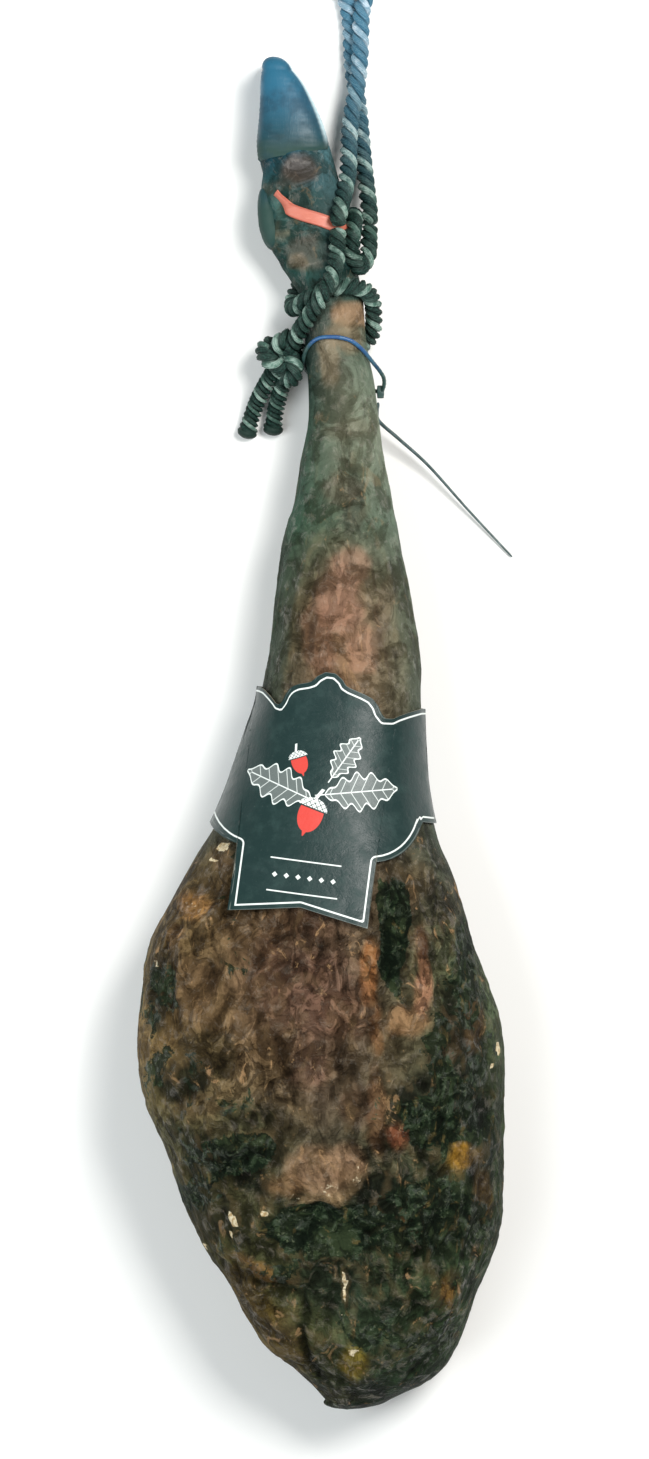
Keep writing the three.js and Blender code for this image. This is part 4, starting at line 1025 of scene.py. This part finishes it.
# Columns: even steps of p over the front, a close pair at each side of the panel, then the back.
side_angle = np.linspace(np.pi - 0.001, 0.001, 1500)
side_p = card_axes(on_card(side_angle, 0 * side_angle, CARD_CLEARANCE))[0]
front_p = CARD_MIDDLE + np.arange(-FRONT_HALF, FRONT_HALF, COLUMN_STEP)
panel_sides = CARD_MIDDLE + np.array([-1, -1, 1, 1]) * (PANEL_HALF_WIDTH + np.array([1, -1, -1, 1]) * 2e-5)
front_p = np.sort(np.r_[front_p[(front_p > side_p[0]) & (front_p < side_p[-1])], panel_sides])
front_angle = np.interp(front_p, side_p, side_angle)
back_angle = np.linspace(0, -np.pi, BACK_COLUMNS)
card_angle = np.r_[front_angle, back_angle]
distance = np.r_[np.abs(front_p - CARD_MIDDLE), np.full(BACK_COLUMNS, 1.0)]


def crown_distance(p):
    """The distance from the middle that the crown is read at: on the left it runs LEFT_CLOSING faster."""
    away = np.abs(p - CARD_MIDDLE)
    return away + LEFT_CLOSING * np.maximum(0, away - 0.018) * (p < CARD_MIDDLE)


def crown_height(p):
    return np.interp(crown_distance(p), *np.array(CROWN).T)


def band_bottom_height(p):
    return np.interp(np.abs(p - CARD_MIDDLE), *np.array(BAND_BOTTOM).T)


def edge_round(height_at, back_height):
    """The q of one edge in every column: on the front height_at its p, and back_height behind.

    At the sides a column leans with the leg, so its p changes along it. The height is read at the p
    that the column has there, by taking the mean of guess and reading ten times. The back eases out
    of the front's two ends.
    """
    edge = height_at(front_p)
    for _ in range(10):
        edge = (edge + height_at(card_axes(on_card(front_angle, edge, CARD_CLEARANCE))[0])) / 2
    round_back = np.linspace(0, 1, BACK_COLUMNS)
    return np.r_[edge, back_height + (edge[-1] - back_height) * smooth(0.3, 0, round_back)
                 + (edge[0] - back_height) * smooth(0.7, 1, round_back)]


top = edge_round(crown_height, BACK_TOP)
bottom = edge_round(band_bottom_height, BACK_BOTTOM)
panel = distance < PANEL_HALF_WIDTH
bottom = np.where(panel, PANEL_NOTCH + (PANEL_CORNER - PANEL_NOTCH) * distance / PANEL_HALF_WIDTH, bottom)
share = np.linspace(0, 1, CARD_ROWS)[:, None]
q = bottom + (top - bottom) * share
face = np.r_[np.ones(CARD_ROWS), np.zeros(CARD_ROWS)][:, None]
wave = on_card(card_angle[None] + 0 * q, q, 0.0)
near_edge = smooth(0.012, 0.0, np.minimum(q - bottom, top - q))
lift = 0.0007 * noise(wave, 0.045, 30) + 0.0004 * noise(wave, 0.018, 31)
lift += near_edge * 0.0007 * (0.6 + noise(wave, 0.03, 32)) * (np.sin(card_angle) > 0)
lift += 0.0016 * smooth(0.020, 0.0, np.hypot(distance - PANEL_HALF_WIDTH, q - PANEL_CORNER))
lift += 0.0016 * smooth(0.75, 1.0, -np.cos(card_angle)) * (np.sin(card_angle) >= 0) * smooth(0.050, 0.010, q)
lift = np.maximum(lift, -0.0007)
inner = on_card(card_angle[None] + 0 * q, q, CARD_CLEARANCE + lift)
outer = on_card(card_angle[None] + 0 * q, q, CARD_CLEARANCE + CARD_THICKNESS + lift)
card = np.vstack([outer, inner[::-1]])
p_here, q_here = card_axes(card)

# The right half of the front's top and bottom edges in card axes, for the distance that the printed
# border keeps from them. Past the front they run straight on.
top_line = CROWN + [(0.09, BACK_TOP)]
low_line = [(0, PANEL_NOTCH), (PANEL_HALF_WIDTH, PANEL_CORNER)] + BAND_BOTTOM + [(0.09, BACK_BOTTOM)]
to_edge = np.minimum(from_line(np.stack([crown_distance(p_here), q_here], -1), top_line),
                     from_line(np.stack([np.abs(p_here - CARD_MIDDLE), q_here], -1), low_line))

ink = Finish("black_card", Roughness=0.36, Specular_IOR_Level=0.2)
across_card, up_card = ink.attribute("card_p"), ink.attribute("card_q")
scuffs, soil = ink.noise(0.010, 5, 0.65), ink.noise(0.0014, 3, 0.6)


def printed_leaf(centre, turn, length, width):
    """The ink of one oak leaf, as a Field: its outline, its midrib and its side veins.

    In the leaf's own axes, s runs 0 to 1 from stalk to tip and t is the distance from the midrib. The
    outline is at t = width · sin(πs)^0.8 · (1 + 0.24 sin 31s), and ink lies where t is within a
    line's width of it. The veins are at even steps of s - t.
    """
    c, s = np.cos(np.radians(turn)), np.sin(np.radians(turn))
    right, up = across_card - centre[0], up_card - centre[1]
    along = (right * c + up * s) * (1 / length)
    off = (up * c - right * s).math("ABSOLUTE")
    inside = along.math("MULTIPLY", np.pi).math("SINE").math("MAXIMUM", 0.0).math("POWER", 0.8)
    outline = inside * ((along * 31.0).math("SINE") * 0.24 + 1.0) * width
    rim_ink = (off - outline).math("ABSOLUTE").above(0.00062, 0.00034)
    within = (outline - off).above(0.0, 0.0004)
    rib = off.above(0.00046, 0.00026) * along.above(-0.14, -0.12) * along.above(0.94, 0.92)
    vein = ((along * 1.0 - off * (0.55 / length)) * 7.0).math("FRACT")
    vein = (vein - 0.5).math("ABSOLUTE").above(0.055, 0.03) * within * off.above(0.0, 0.0006)
    body = within * 0.16
    leafy = along.above(0.0, 0.01) * along.above(1.0, 0.99)
    return ((rim_ink + body) * leafy).math("MAXIMUM", rib).math("MAXIMUM", vein * leafy * 0.8)


def printed_acorn(centre, turn, size):
    """An acorn's nut and cup, as two Fields: a nut that is an oval, and a cup that is its upper cap."""
    c, s = np.cos(np.radians(turn)), np.sin(np.radians(turn))
    right, up = across_card - centre[0], up_card - centre[1]
    x = (right * c + up * s) * (1 / size)
    y = (up * c - right * s) * (1 / size)
    nut = (x * x * 2.2 + y * y).above(1.0, 0.95) * y.above(0.30, 0.26)
    point = (x.math("ABSOLUTE") * 2.6 - y * 0.9).above(1.22, 1.12)
    point = point * (y + 1.25).above(0.0, 0.05) * y.above(-0.8, -0.85)
    cup = (x * x * 1.55 + (y - 0.36) * (y - 0.36) * 3.4).above(1.0, 0.94) * y.above(0.34, 0.38)
    weave = ((x + y) * 3.2).math("FRACT").above(0.12, 0.2) * ((x - y) * 3.2).math("FRACT").above(0.12, 0.2)
    stalk = (x - (y - 1.0) * 0.35).math("ABSOLUTE").above(0.11, 0.07)
    stalk = stalk * y.above(0.85, 0.9) * y.above(1.5, 1.45)
    return nut.math("MAXIMUM", point), (cup * weave).math("MAXIMUM", stalk)


def printed_rule(height, left, right, width):
    """A straight printed line across the card, as a Field."""
    return ((up_card - height).math("ABSOLUTE").above(width * 0.62, width * 0.38)
            * across_card.above(left, left + 0.0004) * across_card.above(right, right - 0.0004))


left_leaf = printed_leaf((-0.004, -0.012), 163, 0.043, 0.0098)
right_leaf = printed_leaf((0.004, -0.008), 12, 0.045, 0.0098)
small_leaf = printed_leaf((0.007, 0.003), 62, 0.030, 0.0066)
nut, cup = printed_acorn((-0.003, -0.021), -14, 0.0115)
second_nut, second_cup = printed_acorn((-0.014, 0.010), 24, 0.0075)
upper_rule, lower_rule = (printed_rule(height, -0.024, 0.020, 0.0008) for height in (-0.0500, -0.0700))
rules = upper_rule.math("MAXIMUM", lower_rule)
beads = ((across_card + 0.002) * (1 / BEAD_STEP)).math("FRACT") - 0.5
bead_row = (beads.math("ABSOLUTE") * BEAD_STEP + (up_card + 0.060).math("ABSOLUTE")).above(0.0019, 0.0014)
bead_row = bead_row * across_card.above(-0.0245, -0.024) * across_card.above(0.0205, 0.020)
border = (ink.attribute("to_edge") - (BORDER_INSET + BORDER_WIDTH / 2)).math("ABSOLUTE")
border = border.above(BORDER_WIDTH * 0.62, BORDER_WIDTH * 0.38) * ink.attribute("front")
pale_ink = left_leaf.math("MAXIMUM", right_leaf).math("MAXIMUM", small_leaf).math("MAXIMUM", cup)
pale_ink = pale_ink.math("MAXIMUM", second_cup).math("MAXIMUM", rules).math("MAXIMUM", bead_row)
pale_ink = pale_ink.math("MAXIMUM", border) * (1 - scuffs.above(0.70, 0.80) * 0.5)
ground = ink.mix(scuffs.above(0.45, 0.75) * 0.5, "1e3130", "2c4340")
ground = ink.mix(soil.above(0.66, 0.74) * 0.18, ground, "6f7a72")
printed = ink.mix(pale_ink * ink.attribute("front"), ground, "dfe6e2")
printed = ink.mix(nut.math("MAXIMUM", second_nut) * ink.attribute("front"), printed, "c9473f")
worn_edge = ink.attribute("to_edge").above(0.0005, 0.0002)
printed = ink.mix(worn_edge * 0.6 * ink.attribute("front"), printed, "6d7672")
board = ink.mix(scuffs.above(0.3, 0.7), "8f8878", "a39b89")
ink.set("Base Color", ink.mix(ink.attribute("outside"), board, printed))
ink.set("Roughness", 0.33 + scuffs.above(0.4, 0.7) * 0.14)
ink.relief(scuffs + soil * 0.15, 0.0005)
label = grid_piece("card_label", card, ink.material, {
    "card_p": p_here, "card_q": q_here, "to_edge": to_edge, "outside": face,
    "front": (face > 0.5) & (np.sin(card_angle) > 0.02)}, poles=False)
label.data.set_sharp_from_angle(angle=0.7)
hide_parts("label")

# ---- Flat seal ----
# A flat orange-red plastic strap over the foot and round its right side under the rope. Its short free
# end is creased and kinks up off the skin.
STRAP_WIDTH, STRAP_THICKNESS = 0.0082, 0.0011
# The angle round the foot, the y there, and how far the strap stands off the skin.
STRAP_ROUTE = [
    (2.3, 0.757, 0.0024), (2.15, 0.752, 0.0012), (2.0, 0.747, 0.0006), (1.7, 0.7435, 0.0005),
    (1.35, 0.74, 0.0005), (1.0, 0.737, 0.0005), (0.6, 0.7345, 0.0005), (0.2, 0.733, 0.0005),
    (-0.3, 0.731, 0.0005), (-0.8, 0.7295, 0.0005), (-1.2, 0.7285, 0.0005), (-1.7, 0.728, 0.0005),
]


def on_skin(route, extra=0.0):
    """The frame's points of a route given by angle, y and stand-off round the leg."""
    angle, y, off = np.array(route).T
    t = halved(np.zeros(angle.shape), np.full(angle.shape, len(leg) - 1.0),
               lambda t: round_section(leg, t, angle)[:, 1] - origin[1] < y)
    return round_section(leg, t, angle, off + extra)


strap_points = on_skin(STRAP_ROUTE, STRAP_THICKNESS / 2 + 0.0002)
strap_fine = rail(strap_points, np.linspace(0, len(strap_points) - 1, 500))
strap_path, strap_at = resampled(strap_fine, 0.0009, 0.0006)
ahead = unit(np.gradient(strap_path, axis=0))
out = strap_path - strap_path.mean(0) * [0, 1, 0] - [strap_points[4][0], 0, FOOT_CENTRE_HEIGHT]
out[:, 1] = 0
out = unit(out - (out * ahead).sum(1, keepdims=True) * ahead)
kink = smooth(0.016, 0.009, strap_at)[:, None]
side = np.cross(out, ahead)
angle = 2 * np.pi * np.arange(40) / 40
dome = np.clip(np.minimum(strap_at, strap_at[-1] - strap_at) / 0.0006, 0, 1)
round_end = np.sqrt(1 - (1 - dome)**2)[:, None]
half_width = STRAP_WIDTH / 2 * (1 - 0.16 * kink * np.sin(strap_at / 0.016 * np.pi * 2)[:, None])
flat = signed_power(np.cos(angle), 0.35) * half_width * (0.9 + 0.1 * round_end)
thick = signed_power(np.sin(angle), 0.6) * STRAP_THICKNESS / 2 * round_end
sag = 0.0009 * kink * np.sin(flat / half_width * 2.2 + 0.6)
strap = strap_path[:, None] + side[:, None] * flat[..., None] + out[:, None] * (thick + sag)[..., None]
strap[[0, -1]] = strap[[0, -1]].mean(1, keepdims=True)

plastic = Finish("seal_plastic", Roughness=0.42)
cloudy, scratch = plastic.noise(0.008, 4), plastic.noise(0.002, 3, 0.6, (3, 0.4, 1))
tint = plastic.mix(cloudy.above(0.4, 0.7) * 0.5, "bf6b57", "ae5b49")
tint = plastic.mix(scratch.above(0.62, 0.75) * 0.35, tint, "e8a590")
plastic.set("Base Color", plastic.mix(plastic.attribute("rim") * 0.5, tint, "a94c3b"))
plastic.relief(scratch * 0.5 + cloudy + plastic.attribute("rim") * 0.6, 0.0004)
rim_line = smooth(0.72, 0.80, np.abs(flat / half_width)) * smooth(0.96, 0.88, np.abs(flat / half_width))
strap_piece = grid_piece("seal_ribbon", strap, plastic.material, {"rim": rim_line})
strap_piece.data.set_sharp_from_angle(angle=0.9)
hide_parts("seal_strap")

# ---- Tie ----
# A thin nylon tie drawn round the shank, blue where it was dyed and green-black with mould at the
# sides and behind, with a small ribbed lock at the right that its free end comes out of.
TIE_ROUTE = [
    (-0.35, 0.634, 0.0034), (0, 0.642, 0.0052), (0.4, 0.652, 0.0016), (0.8, 0.66, 0.0003),
    (1.2, 0.665, 0.0003), (1.6, 0.667, 0.0003), (2.1, 0.666, 0.0003), (2.6, 0.66, 0.0003),
    (3.1, 0.652, 0.0003), (3.7, 0.646, 0.0003), (4.3, 0.643, 0.0003), (4.9, 0.641, 0.0003),
    (5.4, 0.638, 0.0005),
]
LOCK_SIZE = np.array([0.0045, 0.008, 0.005])
LOCK_SQUARENESS = 0.35  # 1 is a ball, 0 a sharp block

ring_points = on_skin(TIE_ROUTE, TIE_RADIUS)
wrapped = np.vstack([ring_points[-2:], ring_points, ring_points[:3]])
ring_fine = rail(wrapped, np.linspace(2, 2 + len(ring_points), 261)[:-1])
ahead = unit(np.roll(ring_fine, -1, 0) - np.roll(ring_fine, 1, 0))
side = unit(np.cross(ahead, [0, 1, 0]))
up = np.cross(side, ahead)
angle = 2 * np.pi * np.arange(20) / 20
ribs = 1 + 0.05 * np.sin(np.arange(len(ring_fine)) * 2 * np.pi / 4)[:, None]
ring = ring_fine[:, None] + TIE_RADIUS * (side[:, None] * (ribs * np.cos(angle))[..., None]
                                          + up[:, None] * (ribs * np.sin(angle))[..., None])
dyed = smooth(0.35, 0.75, ahead[:, 0] * -1) * smooth(0.030, 0.042, ring_fine[:, 2])

dyed_nylon = Finish("tie_dyed", Roughness=0.36)
mottle = dyed_nylon.noise(0.005, 4)
blue = dyed_nylon.mix(mottle.above(0.35, 0.7), "254c80", "336388")
grey = dyed_nylon.mix(mottle.above(0.35, 0.7), "24413f", "3f5a55")
dyed_nylon.set("Base Color", dyed_nylon.mix(dyed_nylon.attribute("dyed"), grey, blue))
dyed_nylon.relief(mottle, 0.0002)
tie = grid_piece("tie_ring", ring, dyed_nylon.material, {"dyed": dyed[:, None]}, poles=False)
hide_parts("tie_band")
# The lock is a block with rounded edges: a ball whose sines and cosines are raised to the power
# LOCK_SQUARENESS.
a, b = np.linspace(-np.pi / 2, np.pi / 2, 25)[:, None], 2 * np.pi * np.arange(32)[None] / 32
wide, high, deep = (signed_power(v, LOCK_SQUARENESS) for v in (np.cos(a), np.sin(a), np.sin(b)))
block = np.stack([wide * signed_power(np.cos(b), LOCK_SQUARENESS), high + 0 * b, wide * deep], -1)
block = block * (LOCK_SIZE / 2) * (1 + 0.03 * np.cos(block[..., 1:2] * 14)) + ring_points[0]
lock = grid_piece("tie_lock", block, dyed_nylon.material, {"dyed": 0 * a})

# ---- Floor and light ----
# A plain pale floor, a large soft light at the upper right, a weaker one at the left, and a pale room.
FLOOR_SIZE = 8
floor_mesh = bpy.data.meshes.new("studio_floor")
floor_corners = [(x * FLOOR_SIZE / 2, y * FLOOR_SIZE / 2, 0) for x, y in ((-1, -1), (1, -1), (1, 1), (-1, 1))]
floor_mesh.from_pydata(floor_corners, [], [(0, 1, 2, 3)])
floor = bpy.data.objects.new("studio_floor", floor_mesh)
scene.collection.objects.link(floor)
paper = Finish("pale_floor", Roughness=0.9)
paper.set("Base Color", paper.mix(paper.noise(0.2, 3), "f4f4f2", "f7f7f6"))
floor_mesh.materials.append(paper.material)


def soft_light(name, place, aim, size, power, tint):
    """A square area light of a size in metres at a place, turned to face the aim."""
    lamp = bpy.data.lights.new(name, "AREA")
    lamp.size, lamp.energy, lamp.color = size, power, tint
    body = bpy.data.objects.new(name, lamp)
    body.location = place
    body.rotation_euler = (aim - body.location).to_track_quat("-Z", "Y").to_euler()
    scene.collection.objects.link(body)


middle = (ham_low + ham_high) / 2
soft_light("key_light", (0.85, 0.75, 1.9), middle, 0.9, 56, (1.0, 0.985, 0.96))
soft_light("fill_light", (-1.3, -0.5, 1.9), middle, 1.8, 44, (0.93, 0.98, 1.0))
room = bpy.data.worlds.new("pale_room")
room.use_nodes = True
room.node_tree.nodes["Background"].inputs["Color"].default_value = (0.95, 0.97, 0.97, 1)
room.node_tree.nodes["Background"].inputs["Strength"].default_value = 0.16
scene.world = room
